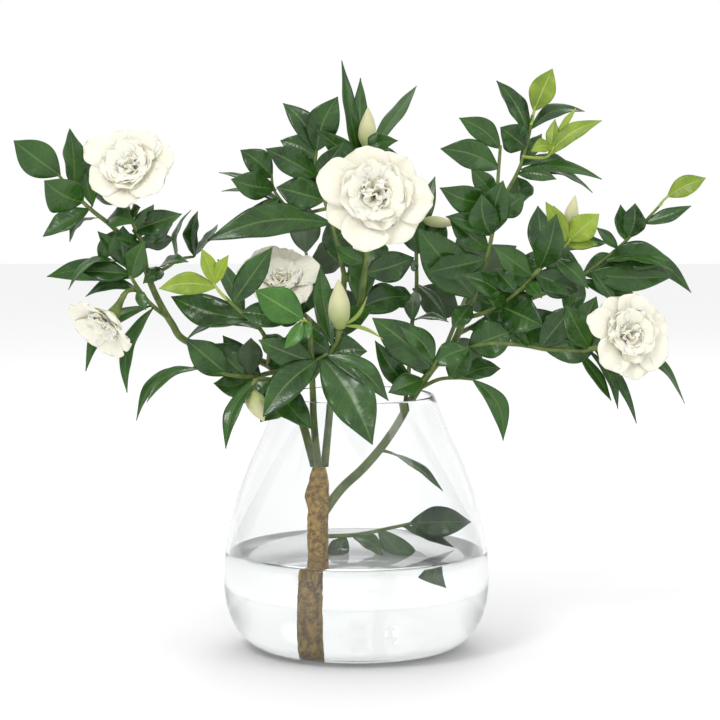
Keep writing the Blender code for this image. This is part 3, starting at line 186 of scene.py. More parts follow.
# %% Add the leafy stems on the right
STEMS.update({
    "stem_dark": ("branch_right", ((36, 176, 5), (40, 214, 18), (42, 244, 28), (45, 268, 36),
        (45, 290, 40), (45, 306, 40), (49, 318, 36)), 1.7, 1.4, ((44, 303, 59, 352, -4, 15, 12, 0),
        (44, 272, 68, 243, 8, 10, 50, 2), (44, 266, 42, 243, 34, 14, 20, 0),
        (45, 282, 40, 290, 20, 8, 20, 0), (42, 244, 69, 243, 16, 10, 62, 2),
        (43, 256, 20, 268, 10, 16, 12, 0), (44, 296, 30, 338, -10, 18, 6, 0))),
    "stem_front": ("branch_right", ((39, 180, 5), (48, 198, -14), (56, 208, -24), (60, 214, -28)),
        1.7, 1.1, ((56, 208, 12, 246, 18, 29, 2, -2), (44, 190, 14, 229, 8, 17, 8, 3),
        (50, 200, 24, 190, 20, 18, 12, 0), (58, 211, 85, 223, -8, 19, 12, 2))),
    "stem_hanging": ("branch_right", ((47, 193, 6), (62, 200, 0), (76, 201, -4), (88, 200, -6)),
        1.6, 1.1, ((87, 200, 110, 154, 10, 15, 14, 8), (70, 200, 85, 225, -4, 19, 4, 0),
        (80, 201, 108, 208, -12, 17, 20, 3))),
    "stem_low_right": ("branch_right", ((64, 216, 5), (84, 224, -8), (104, 227, -18),
        (124, 226, -24), (140, 223, -28), (158, 221, -32), (172, 222, -36), (181, 224, -38)),
        2.0, 1.7, ((84, 224, 119, 237, 10, 30, 6, 0), (140, 223, 186, 235, 4, 31, 4, -2),
        (116, 227, 150, 250, -4, 30, 6, 0), (130, 225, 116, 237, 8, 9, 24, 0),
        (166, 221, 191, 184, 6, 10, 30, 0), (174, 222, 196, 178, 6, 9, 35, 4),
        (178, 223, 210, 167, -14, 9, 40, 2), (176, 223, 246, 182, -30, 11, 36, 14),
        (160, 221, 180, 262, -16, 22, 6, 0))),
    "stem_mid_right": ("branch_right", ((84, 250, 1), (90, 264, -6), (96, 284, -12), (99, 296, -14),
        (102, 310, -14), (104, 324, -10), (106, 344, -4), (107, 364, 0), (108, 375, 2)), 1.9, 1.2,
        ((89, 261, 46, 313, 12, 35, -4, 0), (99, 296, 70, 320, 4, 20, 10, 0),
        (102, 309, 77, 331, -6, 20, 8, 0), (102, 308, 67, 322, 12, 16, 24, -2),
        (102, 310, 110, 349, 14, 24, 4, 2), (105, 336, 86, 358, 4, 16, 8, 0),
        (107, 358, 63, 373, 8, 23, 12, -3), (108, 373, 77, 396, 4, 18, 8, -3),
        (104, 322, 126, 338, -14, 20, 6, 0), (90, 264, 119, 272, -6, 19, 10, 3),
        (86, 256, 72, 238, 12, 16, 12, 0))),
    "stem_top_right": ("stem_mid_right", ((105, 330, -7), (112, 340, 10), (120, 352, 20),
        (126, 370, 24), (130, 386, 24), (132, 398, 22)), 1.6, 1.2,
        ((129, 383, 105, 424, 2, 17, 32, -2), (130, 387, 171, 401, -14, 14, 40, 6),
        (127, 374, 108, 389, 12, 24, 8, 0), (121, 354, 150, 350, 10, 12, 14, 2),
        (120, 352, 124, 332, -14, 22, 4, 0), (123, 360, 166, 357, -6, 12, 48, 5),
        (122, 357, 184, 350, 4, 12, 42, 4), (121, 354, 177, 340, -12, 12, 56, 7),
        (123, 359, 139, 384, -16, 13, 20, 0))),
    "stem_bud_right": ("branch_right", ((82, 246, 1), (96, 250, -8), (112, 258, -18),
        (128, 273, -28), (144, 290, -36), (152, 300, -38), (158, 308, -38)), 1.8, 1.5,
        ((137, 283, 150, 324, 14, 22, 2, -2), (146, 292, 174, 268, 12, 14, 12, 2),
        (124, 269, 161, 262, 6, 16, 20, 6), (120, 265, 104, 283, -4, 18, 10, 0),
        (132, 277, 103, 299, 8, 19, 16, 0), (140, 286, 136, 330, -22, 20, 6, 0),
        (128, 273, 139, 261, 22, 12, 4, 0), (148, 296, 188, 302, -8, 14, 30, 2),
        (112, 258, 98, 262, 14, 13, 6, 0), (134, 279, 166, 266, -10, 24, 4, 0),
        (118, 263, 138, 298, -20, 20, 4, 0), (108, 255, 140, 240, 12, 30, 4, 0))),
    "stem_far_right": ("branch_right", ((76, 234, 3), (100, 246, 22), (130, 260, 34),
        (160, 272, 40), (182, 287, 40), (198, 300, 38), (207, 309, 36), (216, 318, 34),
        (229, 332, 32)), 1.9, 1.0, ((204, 306, 209, 332, 8, 19, 4, -2),
        (202, 304, 198, 331, 0, 14, 34, 2), (186, 290, 236, 289, 10, 23, 8, 3),
        (181, 286, 238, 281, 20, 14, 62, 5), (172, 279, 237, 277, 2, 22, 6, -2),
        (215, 317, 251, 330, 4, 12, 28, -2), (196, 298, 180, 314, 4, 9, 20, 0),
        (176, 282, 194, 257, 8, 13, 24, 0), (168, 276, 158, 246, 12, 18, 6, 0),
        (166, 275, 220, 254, -10, 13, 20, 0), (190, 293, 251, 265, -8, 15, 8, 10))),
})
print("leafy stems with those on the right:", len(STEMS))

# %% Add the leafy stems at the back and in the vase
STEMS.update({
    "stem_back_middle": ("branch_middle", ((-17, 205, 1), (-24, 226, 30), (-30, 252, 58),
        (-34, 276, 82), (-38, 296, 100)), 2.0, 1.2, ((-29, 250, 4, 262, -22, 27, 172, 0),
        (-32, 266, -68, 282, -24, 27, 172, 0), (-35, 281, 0, 304, -24, 26, 162, 0),
        (-38, 295, -40, 334, -20, 25, 172, 0), (-25, 230, -60, 222, -26, 26, 172, 0))),
    "stem_back_right": ("branch_right", ((57, 207, 7), (66, 222, 32), (74, 242, 58), (82, 262, 82),
        (88, 280, 104)), 2.0, 1.2, ((77, 250, 42, 268, -22, 27, 172, 0),
        (80, 258, 116, 266, -22, 26, 172, 0), (88, 279, 80, 316, -24, 26, 172, 0),
        (88, 279, 120, 300, -26, 25, 172, 0), (67, 224, 96, 212, -26, 26, 172, 0))),
    "stem_bloom_back": ("branch_middle", ((-14.5, 225, 2), (-30, 240, 8), (-45, 254, 10),
        (-54, 264, 10)), 1.9, 1.8, ((-40, 249, -66, 246, 8, 18, 10, 0),)),
    "stem_bloom_hanging": ("stem_mid_left", ((-160, 264, -46), (-166, 267, -57), (-172, 266, -64),
        (-175, 262, -67)), 1.6, 1.6, ((-164, 266.5, -158, 252, 8, 9, 10, 0),)),
    "stem_vase": ("branch_right", ((16, 146, 0), (22, 146, 6), (30, 143, 10)), 1.4, 1.0,
        ((28, 144, 65, 116, 4, 10, 52, 1),)),
    "stem_water": ("trunk", ((-27, 82, -22), (-6, 82, -12), (12, 87, -4), (31, 89, 0), (42, 92, 2)),
        1.7, 1.2, ((40, 92, 86, 93, 4, 24, 10, 0), (34, 90, 73, 74, 4, 9, 30, 0),
        (16, 87.5, 53, 46, 6, 21, 6, 0), (-3, 82.5, 20, 66, 16, 14, 32, 3),
        (-8, 82, -19, 61, 12, 16, 10, 0))),
})
print("all leafy stems:", len(STEMS))

# %% Lay out the young shoots
# Young lime-green shoots, each seated on the end or the side of a stem
LIME_SHOOTS = {
    "lime_left": ("stem_lime_left", ((-97, 260, -61), (-103, 266, -64), (-107, 272, -66)), 1.4, 1.0,
        ((-105, 269, -148, 268, 4, 17, 8, -3), (-106, 271, -116, 298, 2, 12, 14, 0),
        (-107, 271, -96, 293, 6, 11, 30, 0))),
    "lime_top": ("stem_top_right", ((131, 391, 23), (133, 400, 22), (134, 405, 21)), 1.3, 0.9,
        ((133, 401, 147, 433, 4, 20, 4, 0),)),
    "lime_twisted": ("stem_top_right", ((125, 367, 23.6), (134, 366, 16), (143, 367, 10),
        (148, 374, 8)), 1.3, 0.9, ((143, 367, 184, 394, 2, 14, 18, 4),
        (146, 371, 149, 395, -8, 10, 24, 0), (147, 373, 131, 371, 10, 11, 14, -3),
        (148, 374, 165, 404, -14, 7, 40, 0))),
    "lime_bud": ("stem_bud_right", ((150, 297, -37.4), (157, 301, -46), (160, 305, -50)), 1.3, 0.9,
        ((159, 304, 182, 324, 4, 20, 4, 0), (158, 303, 142, 333, -14, 14, 12, 0),
        (156, 301, 181, 301, 8, 9, 24, 0))),
    "lime_far": ("stem_far_right", ((227, 330, 32), (231, 335, 30), (235, 338, 29)), 1.1, 0.8,
        ((233, 337, 262, 351, 4, 16, 10, 1),)),
    "lime_hanging": ("branch_young", ((-35, 239, -51), (-38, 244, -58), (-42, 244, -64)), 1.3, 0.9,
        ((-40, 245, -76, 267, 8, 27, 4, 0), (-41, 244, -54, 223, 6, 11, 6, 2),
        (-39, 244, -36, 230, 10, 9, 8, 0))),
}
print("young shoots:", len(LIME_SHOOTS))

# %% Lay out the blooms
# Blooms: the stem that carries each, its middle, the way it faces (across, towards the viewer,
# up), the reach of its petals, how far they cup forward in degrees, and its outer petals as
# (clock angle in degrees from the right, length, width)
BLOOMS = {
    "bloom_top": ("stem_bloom_top", (14, 338, -54), (0.02, 1.0, 0.16), 42, 17, ((165, 47, 33),
        (208, 42, 29), (258, 46, 34), (306, 44, 36), (355, 45, 34), (48, 38, 33), (104, 38, 34))),
    "bloom_left": ("stem_bloom_left", (-168, 356, -58), (-0.24, 0.84, 0.46), 34, 22, ((148, 42, 23),
        (104, 34, 30), (56, 33, 30), (4, 38, 30), (316, 38, 31), (262, 36, 31), (206, 34, 28))),
    "bloom_right": ("stem_low_right", (201, 232, -46), (0.34, 0.86, 0.22), 34, 20, ((165, 40, 22),
        (122, 34, 28), (74, 34, 30), (24, 35, 31), (332, 36, 31), (280, 36, 28), (224, 36, 28))),
    "bloom_back": ("stem_bloom_back", (-57, 272, 4), (0.04, 0.74, 0.67), 27, 24, ((10, 34, 27),
        (75, 30, 28), (130, 32, 28), (180, 36, 28), (240, 32, 28), (305, 33, 28))),
    "bloom_hanging": ("stem_bloom_hanging", (-184, 247, -72), (-0.55, 0.52, -0.65), 25, 30,
        ((10, 32, 24), (65, 31, 24), (120, 31, 25), (172, 34, 25), (232, 34, 25), (290, 36, 25))),
}
print("outer petals of each bloom:", [len(entry[5]) for entry in BLOOMS.values()])

# %% Lay out the buds
# Closed buds: the stem that carries each, the end of the bud, its fullest width, and the narrow
# straps of its calyx as (root across, root up, tip across, tip up, lean, width, roll, bow)
BUDS = {
    "bud_crown": ("stem_crown", (8.7, 404, 14), 14.5, ()),
    "bud_middle": ("stem_bud_middle", (-13.5, 275, -46), 17, ((-11, 240, 8, 262, 10, 3, 10, -4),
        (-11, 240, 20, 230, 12, 3, 10, 3))),
    "bud_low": ("stem_bud_low", (-69.4, 168.5, -66), 15.5, ((-79, 190, -94, 173, 8, 3, 10, -3),
        (-79, 190, -66, 176, 10, 3, 10, 2))),
    "bud_small": ("stem_dark", (76.5, 316.5, 22), 9, ()),
    "bud_right": ("stem_bud_right", (164, 338, -44), 12, ((158, 311, 148, 330, 12, 3, 10, -2),)),
}
print("buds:", len(BUDS))

# %% Fill the dense parts by chance
# Where the branch is dense, as (lowest and highest across, lowest and highest up), and how many
# more leaves each stem carries there
DENSE = ((-135, -20, 190, 300), (12, 168, 232, 345), (-95, -5, 300, 380), (-205, -150, 262, 345),
         (120, 225, 225, 300))
MORE_LEAVES = {
    "stem_mid_left": 2, "stem_low_left": 2, "stem_lime_left": 2, "stem_young": 1,
    "stem_bud_middle": 2, "stem_crown_left": 3, "stem_crown": 2, "stem_bloom_top": 1,
    "stem_dark": 4, "stem_front": 2, "stem_low_right": 3, "stem_mid_right": 4,
    "stem_bud_right": 3, "stem_far_right": 3, "stem_bloom_back": 2,
}
FIRST_SEED = 40
TRIES = 12


def more_leaves(number, points, count):
    """Leaves set by chance along a stem, where they stay inside the dense parts of the branch."""
    dice = random.Random(FIRST_SEED + number)
    leaves = []
    for attempt in range(count * TRIES):
        if len(leaves) == count:
            break
        index = dice.randrange(1, len(points))
        share = dice.random()
        before, after = points[index - 1], points[index]
        across, up = (before[axis] * (1 - share) + after[axis] * share for axis in (0, 1))
        angle = dice.uniform(-0.7, 3.8)
        reach = dice.uniform(32, 46)
        tip = (across + math.cos(angle) * reach, up + math.sin(angle) * reach * 0.9)
        shape = (dice.uniform(-26, 18), dice.uniform(17, 24), dice.uniform(-8, 30),
                 dice.uniform(-4, 4))
        if any(left < tip[0] < right and low < tip[1] < high for left, right, low, high in DENSE):
            leaves.append((across, up, *tip, *shape))
    return leaves


print("leaves set by chance, at most:", sum(MORE_LEAVES.values()))

# %% [markdown]
# A curve through a few points is smooth where straight runs would show as kinks. The tube round
# it carries its cross-section along, so it doesn't twist. These two helpers make every stem.

# %% Draw a smooth path
STEM_STEP = 0.023


def smooth(points, count):
    """Points along a smooth curve that passes through all the given ones."""
    places = [Vector(point) for point in points]
    padded = [places[0] * 2 - places[1]] + places + [places[-1] * 2 - places[-2]]
    result = []
    for step in range(count):
        along = step / (count - 1) * (len(places) - 1)
        index = min(int(along), len(places) - 2)
        share = along - index
        before, start, end, after = padded[index:index + 4]
        result.append(0.5 * (2 * start + (end - before) * share
                             + (2 * before - 5 * start + 4 * end - after) * share ** 2
                             + (3 * start - before - 3 * end + after) * share ** 3))
    return result


def length_of(points):
    return sum((second - first).length for first, second in zip(points, points[1:]))


def stem_path(points):
    """The centre line of a stem, with a point about every 23 mm."""
    places = [seen(*point) for point in points]
    return smooth(places, max(4, round(length_of(places) / STEM_STEP) + 1))


def sizes_along(count, first, last, end=None):
    """Radii from first to last in metres, with one of its own at the end where a bloom sits."""
    radii = [(first + (last - first) * index / (count - 1)) * TO_METRES for index in range(count)]
    if end:
        radii[-1] = end * TO_METRES
    return radii


left_limb = stem_path(LIMBS["branch_left"][0])
print("the left limb's length in metres:", round(length_of(left_limb), 3))

# %% Wrap a tube round a path
def tube(path, radii, sides):
    """Vertices and faces of a closed tube along a path, with flat ends."""
    vertices = []
    faces = []
    side = Vector((0.31, 0.95, 0.05))
    for index, place in enumerate(path):
        ahead = path[min(index + 1, len(path) - 1)] - path[max(index - 1, 0)]
        ahead.normalize()
        side = (side - ahead * side.dot(ahead)).normalized()
        other = ahead.cross(side)
        for corner in range(sides):
            angle = math.tau * corner / sides
            outward = side * math.cos(angle) + other * math.sin(angle)
            vertices.append(place + outward * radii[index])
    for ring in range(len(path) - 1):
        for corner in range(sides):
            a = ring * sides + corner
            b = ring * sides + (corner + 1) % sides
            faces.append((a, b, b + sides, a + sides))
    faces.append(tuple(range(sides)))
    faces.append(tuple(range(len(vertices) - sides, len(vertices))))
    return vertices, faces


def stem_end(path):
    """The end of a path, and the way it points there."""
    return path[-1], (path[-1] - path[-2]).normalized()


print("the left limb points at its end:", stem_end(left_limb)[1])

# %% [markdown]
# Leaves in a dense branch lie over and under each other without cutting through. A plain blade is
# tested against all that stands already, and its tip slides nearer or farther along the line of
# sight until it is free. The picture stays the same, and no two leaves meet.

# %% Give a leaf its plain form
SHORT_LEAF = 0.020
MIDDLING_LEAF = 0.045
STALK = 0.002
SINK = 0.0003


def nearest(path, place, keep_off):
    """The point of a path that is nearest to a place, not closer to its root than keep_off."""
    best = None
    walked = 0.0
    whole = length_of(path)
    for first, second in zip(path, path[1:]):
        run = (second - first).length
        for step in range(13):
            share = step / 12
            point = first.lerp(second, share)
            if not keep_off <= walked + run * share <= whole - 0.0015:
                continue
            if best is None or (point - place).length < (best - place).length:
                best = point
        walked += run
    return best or path[-1].lerp(path[-2], 0.3)


def leaf_width(along):
    """Half of the blade's width, as a share of the fullest, from root to drawn-out tip."""
    return math.sin(math.pi * along) ** 0.85 * (1 - 0.35 * along ** 5)


def blade_shape(leaf, path, keep_off, slide):
    """The leaf as a row of sections for the touch test, and the form its fine blade follows."""
    root_across, root_up, tip_across, tip_up, lean, width, roll, bow = leaf
    guess = seen(root_across, root_up, 0)
    closest = min(path, key=lambda place: (place.x - guess.x) ** 2 + (place.z - guess.z) ** 2)
    root = seen(root_across, root_up, closest.y / TO_METRES)
    seat = nearest(path, root, keep_off)
    root = seen(root_across, root_up, seat.y / TO_METRES)
    tip = seen(tip_across, tip_up, seat.y / TO_METRES - lean + slide)
    axis = tip - root
    span = axis.length
    axis.normalize()
    eye = Vector((VIEW_MIDDLE[0], -VIEW_DISTANCE, VIEW_HEIGHT)) * TO_METRES
    sight = (eye - root).normalized()
    face = (sight - axis * sight.dot(axis)).normalized()
    side = axis.cross(face)
    lift = side if side.z > 0 else -side
    turn = math.radians(roll)
    normal = face * math.cos(turn) + lift * math.sin(turn)
    cross = axis.cross(normal)
    form = (seat, root, tip, side, cross, normal, width * TO_METRES, bow * TO_METRES, span)
    stations = 2 if span < SHORT_LEAF else 3 if span < MIDDLING_LEAF else 4
    rows = []
    if (root - seat).length > STALK:
        rows.append((seat - axis * SINK, cross, normal, 0.0009))
    else:
        root = seat - axis * SINK
    for step in range(stations + 1):
        along = step / stations
        rise = math.sin(math.pi * along)
        centre = root.lerp(tip, along)
        centre = centre - side * rise * bow * TO_METRES + normal * rise * LEAF_LIFT * span
        half = max(leaf_width(along) * width / 2 * TO_METRES, 0.0006)
        rows.append((centre, cross, normal, half))
    return rows, form


print("half width at a quarter, a half and three quarters:",
      [round(leaf_width(along), 2) for along in (0.25, 0.5, 0.75)])

# %% Give the plain leaf its mesh
def blade_mesh(rows, thickness, fold, grow=0.0):
    """Vertices and faces of a blade, split alike on both faces; a wide one folds at its midrib."""
    widest = max(half for centre, cross, normal, half in rows)
    reaches = (-1, 0, 1) if widest > NARROW * TO_METRES else (-1, 1)
    line = len(reaches) * 2
    vertices = []
    faces = []
    for centre, cross, normal, half in rows:
        half += grow
        for reach in reaches:
            place = centre + cross * half * reach + normal * abs(reach) * half * fold
            vertices.append(place + normal * (thickness / 2 * TO_METRES + grow))
            vertices.append(place - normal * (thickness / 2 * TO_METRES + grow))
    for row in range(len(rows) - 1):
        for column in range(len(reaches) - 1):
            a = row * line + column * 2
            b = a + 2
            c = b + line
            d = a + line
            faces.extend(((a, b, c), (a, c, d), (a + 1, c + 1, b + 1), (a + 1, d + 1, c + 1)))
        for column in (0, line - 2):
            a = row * line + column
            faces.append((a, a + line, a + line + 1, a + 1))
    for row in (0, len(rows) - 1):
        for column in range(len(reaches) - 1):
            a = row * line + column * 2
            faces.append((a, a + 1, a + 3, a + 2))
    return vertices, faces


first_rows, first_form = blade_shape(STEMS["stem_upper_left"][4][0], left_limb, 0, 0)
print("faces of a plain leaf:", len(blade_mesh(first_rows, LEAF_THICKNESS, LEAF_FOLD)[1]))

# %% Test a leaf against its neighbours
SLIDES = (0, -7, 7, -14, 14, -22, 22, -32, 32, -44, 44, -58, 58)


class Neighbours:
    """The shapes that stand already, kept by the node they belong to."""

    def __init__(self):
        self.shapes = {}

    def add(self, node, vertices, faces):
        self.shapes.setdefault(node, []).append(BVHTree.FromPolygons(vertices, faces, epsilon=0.0))

    def blocked_by(self, vertices, faces, node):
        tree = BVHTree.FromPolygons(vertices, faces, epsilon=0.0)
        for other, trees in self.shapes.items():
            if other == node or (other == "water" and node == "stem_water"):
                continue
            if any(tree.overlap(each) for each in trees):
                return other
        return None


def clear_leaf(leaf, path, keep_off, node, standing):
    """Slides a leaf's tip along the line of sight until it is clear of every other node."""
    for slide in SLIDES:
        rows, form = blade_shape(leaf, path, keep_off, slide)
        blade = blade_mesh(rows, LEAF_THICKNESS, LEAF_FOLD, CLEARANCE * TO_METRES)
        if standing.blocked_by(*blade, node) is None:
            return rows, form
    return None, None


print("places tried for each leaf, at most:", len(SLIDES))

# %% [markdown]
# Blooms and buds stand in the leaves' way as well, so they need a plain form too: a few cupped
# petals round a furled heart, or one body that swells and narrows.

# %% Give a petal its plain form
PETAL_WIDTHS = ((0.0, 0.22), (0.36, 0.80), (0.72, 1.0), (1.0, 0.52))
PETAL_FOLD = 0.10


def petal_rows(middle, facing, clock, length, width, cup, curl):
    """One petal: its centre line from the heart outwards, cupped forward, with a rolled tip."""
    right = Vector((1, 0, 0))
    up = facing.cross(right).normalized()
    if up.z < 0:
        up = -up
    right = up.cross(facing)
    right = right if right.x > 0 else -right
    angle = math.radians(clock)
    outward = right * math.cos(angle) + up * math.sin(angle)
    cross = outward.cross(facing).normalized()
    rows = []
    place = middle + outward * PETAL_ROOT * TO_METRES
    for along, share in PETAL_WIDTHS:
        pitch = math.radians(cup + (1 - along) * 20 - curl * along ** 2)
        ahead = outward * math.cos(pitch) + facing * math.sin(pitch)
        normal = facing * math.cos(pitch) - outward * math.sin(pitch)
        if along:
            place = place + ahead * (along - before) * (length - PETAL_ROOT) * TO_METRES
        before = along
        rows.append((place.copy(), cross, normal, width / 2 * share * TO_METRES))
    return rows


def whorls(reach, cup, outer):
    """The plain petals of a bloom, as (clock angle, length, width, cup, curl, forward shift)."""
    petals = []
    for index, (clock, length, width) in enumerate(outer):
        petals.append((clock, length, width, cup, 30, -2.0 if index % 2 else 0.0))
    inner = 3 if len(outer) > 6 else 0
    for index in range(inner):
        petals.append((360 / inner * index + 25, reach * 0.68, reach * 0.62, cup + 26, 14, 2.5))
    return petals


print("plain petals of each bloom:", [len(whorls(*entry[3:])) for entry in BLOOMS.values()])

# %% Give a whole bloom and a bud their plain form
NECK = 0.002
BUD_WIDTHS = ((0.16, 0.66), (0.38, 1.0), (0.62, 0.92), (0.84, 0.55), (1.0, 0.12))


def bloom_place(entry):
    """The middle of a bloom in space, and the way it faces."""
    across, forward, up = entry[2]
    return seen(*entry[1]), Vector((across, -forward, up)).normalized()


def bloom_meshes(seat, ahead, entry):
    """The neck and heart as one tube, and the petals of one bloom, as vertices and faces."""
    middle, facing = bloom_place(entry)
    start = seat + ahead * SEAT_GAP * TO_METRES
    path = [start, start + ahead * NECK, middle - facing * 0.005, middle,
            middle + facing * 0.006, middle + facing * 0.013]
    wide = entry[3] * TO_METRES
    shapes = [tube(path, [0.0020, 0.0026, 0.0046, wide * 0.17, wide * 0.22, wide * 0.10], 8)]
    for clock, length, width, cup, curl, forward in whorls(*entry[3:]):
        root = middle + facing * forward * TO_METRES
        rows = petal_rows(root, facing, clock, length, width, cup, curl)
        shapes.append(blade_mesh(rows, PETAL_THICKNESS, PETAL_FOLD))
    return shapes


def bud_mesh(seat, ahead, tip, width):
    """A closed bud: a short neck on the stem's end, then a body that swells and narrows."""
    start = seat + ahead * SEAT_GAP * TO_METRES
    neck = start + ahead * NECK
    path = [start, neck]
    radii = [0.0016, 0.0021]
    for along, share in BUD_WIDTHS:
        path.append(neck + (tip - neck) * along)
        radii.append(width / 2 * share * TO_METRES)
    return tube(path, radii, 8)


print("the top bloom's middle in space:", bloom_place(BLOOMS["bloom_top"])[0])

# %% Walk the trunk
TRUNK_PATH = ((-28.1, -29.0, VASE_FLOOR + SEAT_GAP), (-28.6, -28.6, 34.0), (-28.2, -28.0, 64.0),
              (-28.8, -26.5, 92.0), (-28.4, -23.5, 112.0), (-28.0, -20.5, 128.0),
              (-28.0, -19.3, 139.0))
TRUNK_SIZES = (8.6, 8.2, 8.0, 8.1, 8.0, 8.3, 8.0)
trunk_path = [Vector(point) * TO_METRES for point in TRUNK_PATH]
trunk_radii = [size * TO_METRES for size in TRUNK_SIZES]
print("trunk length in metres:", round(length_of(trunk_path), 3))

# %% [markdown]
# Node trees are easier to read when each node is added together with what feeds it. One small
# class does that for every tree of this lesson: stems, leaves, petals, bark and sky.

# %% Add nodes in short lines
class Board:
    """The nodes of one tree, with short ways to add and link them."""

    def __init__(self, tree):
        self.nodes = tree.nodes
        self.link = tree.links.new

    def feed(self, socket, value):
        """Links an output to a socket, or gives the socket a plain value."""
        if isinstance(value, bpy.types.NodeSocket):
            self.link(value, socket)
        else:
            socket.default_value = (*value, 1) if socket.type == "RGBA" else value

    def add(self, kind, inputs=None, **settings):
        node = self.nodes.new(kind)
        for label, value in settings.items():
            setattr(node, label, value)
        for label, value in (inputs or {}).items():
            self.feed(node.inputs[label], value)
        return node

    def maths(self, operation, *values):
        return self.add("ShaderNodeMath", dict(enumerate(values)), operation=operation).outputs[0]

    def attribute(self, name):
        return self.add("ShaderNodeAttribute", attribute_name=name).outputs["Fac"]

    def blend(self, factor, first, second):
        values = {"Factor": factor, "A": first, "B": second}
        return self.add("ShaderNodeMix", values, data_type="RGBA").outputs["Result"]

    def bump(self, height, strength, distance):
        values = {"Height": height, "Strength": strength, "Distance": distance}
        return self.add("ShaderNodeBump", values).outputs["Normal"]


def add_sockets(tree, way, sockets):
    """Names the inputs or outputs of a tree; a socket may have a value to start from."""
    for label, kind, *value in sockets:
        socket = tree.interface.new_socket(label, in_out=way, socket_type="NodeSocket" + kind)
        if value:
            socket.default_value = value[0]


print("ways to add a node:", [name for name in vars(Board) if not name.startswith("_")])

# %% [markdown]
# The stems are tubes that follow their paths, and a node tree makes them: it turns a line into a
# curve, gives it the thickness stored along the line, and sets a ring-like leaf scar every so
# often. A tree suits this, because one rule serves every stem and the sizes stay open to change.

# %% Build the stem tree
CURVE_STEP = 0.0025
SCAR_REACH = 1.05
SCAR_RANGE = (0.7, 1.3)


def stem_tree():
    tree = bpy.data.node_groups.new("stem_from_line", "GeometryNodeTree")
    add_sockets(tree, "INPUT", (("Geometry", "Geometry"), ("Sides", "Int", 12),
                                ("Scar spacing", "Float", 0.011), ("Scar size", "Float", 0.0007),
                                ("Seed", "Int", 4), ("Bark", "Material")))
    add_sockets(tree, "OUTPUT", (("Geometry", "Geometry"),))
    board = Board(tree)
    given = board.add("NodeGroupInput").outputs
    thickness = board.add("GeometryNodeInputNamedAttribute", {"Name": "thickness"},
                          data_type="FLOAT").outputs["Attribute"]
    line = board.add("GeometryNodeMeshToCurve", {"Mesh": given["Geometry"]}).outputs["Curve"]
    sized = board.add("GeometryNodeSetCurveRadius", {"Curve": line, "Radius": thickness}).outputs[0]
    even = board.add("GeometryNodeResampleCurve", {"Curve": sized, "Length": CURVE_STEP},
                     mode="LENGTH").outputs["Curve"]
    ring = board.add("GeometryNodeCurvePrimitiveCircle", {"Resolution": given["Sides"],
                                                          "Radius": 1.0}).outputs["Curve"]
    skin = board.add("GeometryNodeCurveToMesh", {"Curve": even, "Profile Curve": ring,
                                                 "Scale": thickness, "Fill Caps": True})
    points = board.add("GeometryNodeCurveToPoints", {"Curve": sized,
                                                     "Length": given["Scar spacing"]},
                       mode="LENGTH").outputs
    wide = board.maths("MULTIPLY", thickness, SCAR_REACH)
    chance = board.add("FunctionNodeRandomValue", {2: SCAR_RANGE[0], 3: SCAR_RANGE[1],
                                                   "Seed": given["Seed"]}, data_type="FLOAT")
    flat = board.maths("MULTIPLY", chance.outputs[1], given["Scar size"])
    squash = board.add("ShaderNodeCombineXYZ", {"X": wide, "Y": wide, "Z": flat})
    scar = board.add("GeometryNodeMeshIcoSphere", {"Subdivisions": 2}).outputs["Mesh"]
    scars = board.add("GeometryNodeInstanceOnPoints", {
        "Points": points["Points"], "Instance": scar, "Rotation": points["Rotation"],
        "Scale": squash.outputs["Vector"]})
    join = board.add("GeometryNodeJoinGeometry", {"Geometry": skin.outputs["Mesh"]})
    board.feed(join.inputs["Geometry"], scars.outputs["Instances"])
    real = board.add("GeometryNodeRealizeInstances", {"Geometry": join.outputs["Geometry"]})
    paint = board.add("GeometryNodeSetMaterial", {"Geometry": real.outputs["Geometry"],
                                                  "Material": given["Bark"]})
    board.add("NodeGroupOutput", {"Geometry": paint.outputs["Geometry"]})
    return tree


STEM_TREE = stem_tree()
print("nodes in the stem tree:", len(STEM_TREE.nodes))

# %% Turn a line into a stem mesh
LINE_STEPS = 6


def add_object(name, data):
    """A new object in the scene, which may hold a mesh, a light or a camera."""
    made = bpy.data.objects.new(name, data)
    bpy.context.scene.collection.objects.link(made)
    return made


def stem_mesh(path, radii, material, sides, spacing):
    """The stem tree's mesh for one path, whose line carries the thickness."""
    fine = [tuple(point) for point in smooth(path, len(path) * LINE_STEPS)]
    line = bpy.data.meshes.new("line")
    line.from_pydata(fine, [(index, index + 1) for index in range(len(fine) - 1)], [])
    sizes = line.attributes.new("thickness", "FLOAT", "POINT")
    for index in range(len(fine)):
        along = index / (len(fine) - 1) * (len(radii) - 1)
        low = min(int(along), len(radii) - 2)
        sizes.data[index].value = radii[low] + (radii[low + 1] - radii[low]) * (along - low)
    holder = add_object("line", line)
    grow = holder.modifiers.new("grow", "NODES")
    grow.node_group = STEM_TREE
    values = {"Sides": sides, "Scar spacing": spacing, "Bark": material}
    for item in STEM_TREE.interface.items_tree:
        if item.in_out == "INPUT" and item.name in values:
            grow[item.identifier] = values[item.name]
    result = holder.evaluated_get(bpy.context.evaluated_depsgraph_get())
    mesh = bpy.data.meshes.new_from_object(result)
    bpy.data.objects.remove(holder)
    bpy.data.meshes.remove(line)
    return mesh


print("steps of the line for each point of a path:", LINE_STEPS)

# %% [markdown]
# A gardenia leaf is leathery: it puckers up between its side veins and sinks along them, and its
# two halves fold up from the midrib. That relief is real geometry here, not only a bump, because
# the highlights on a glossy leaf show every fold.

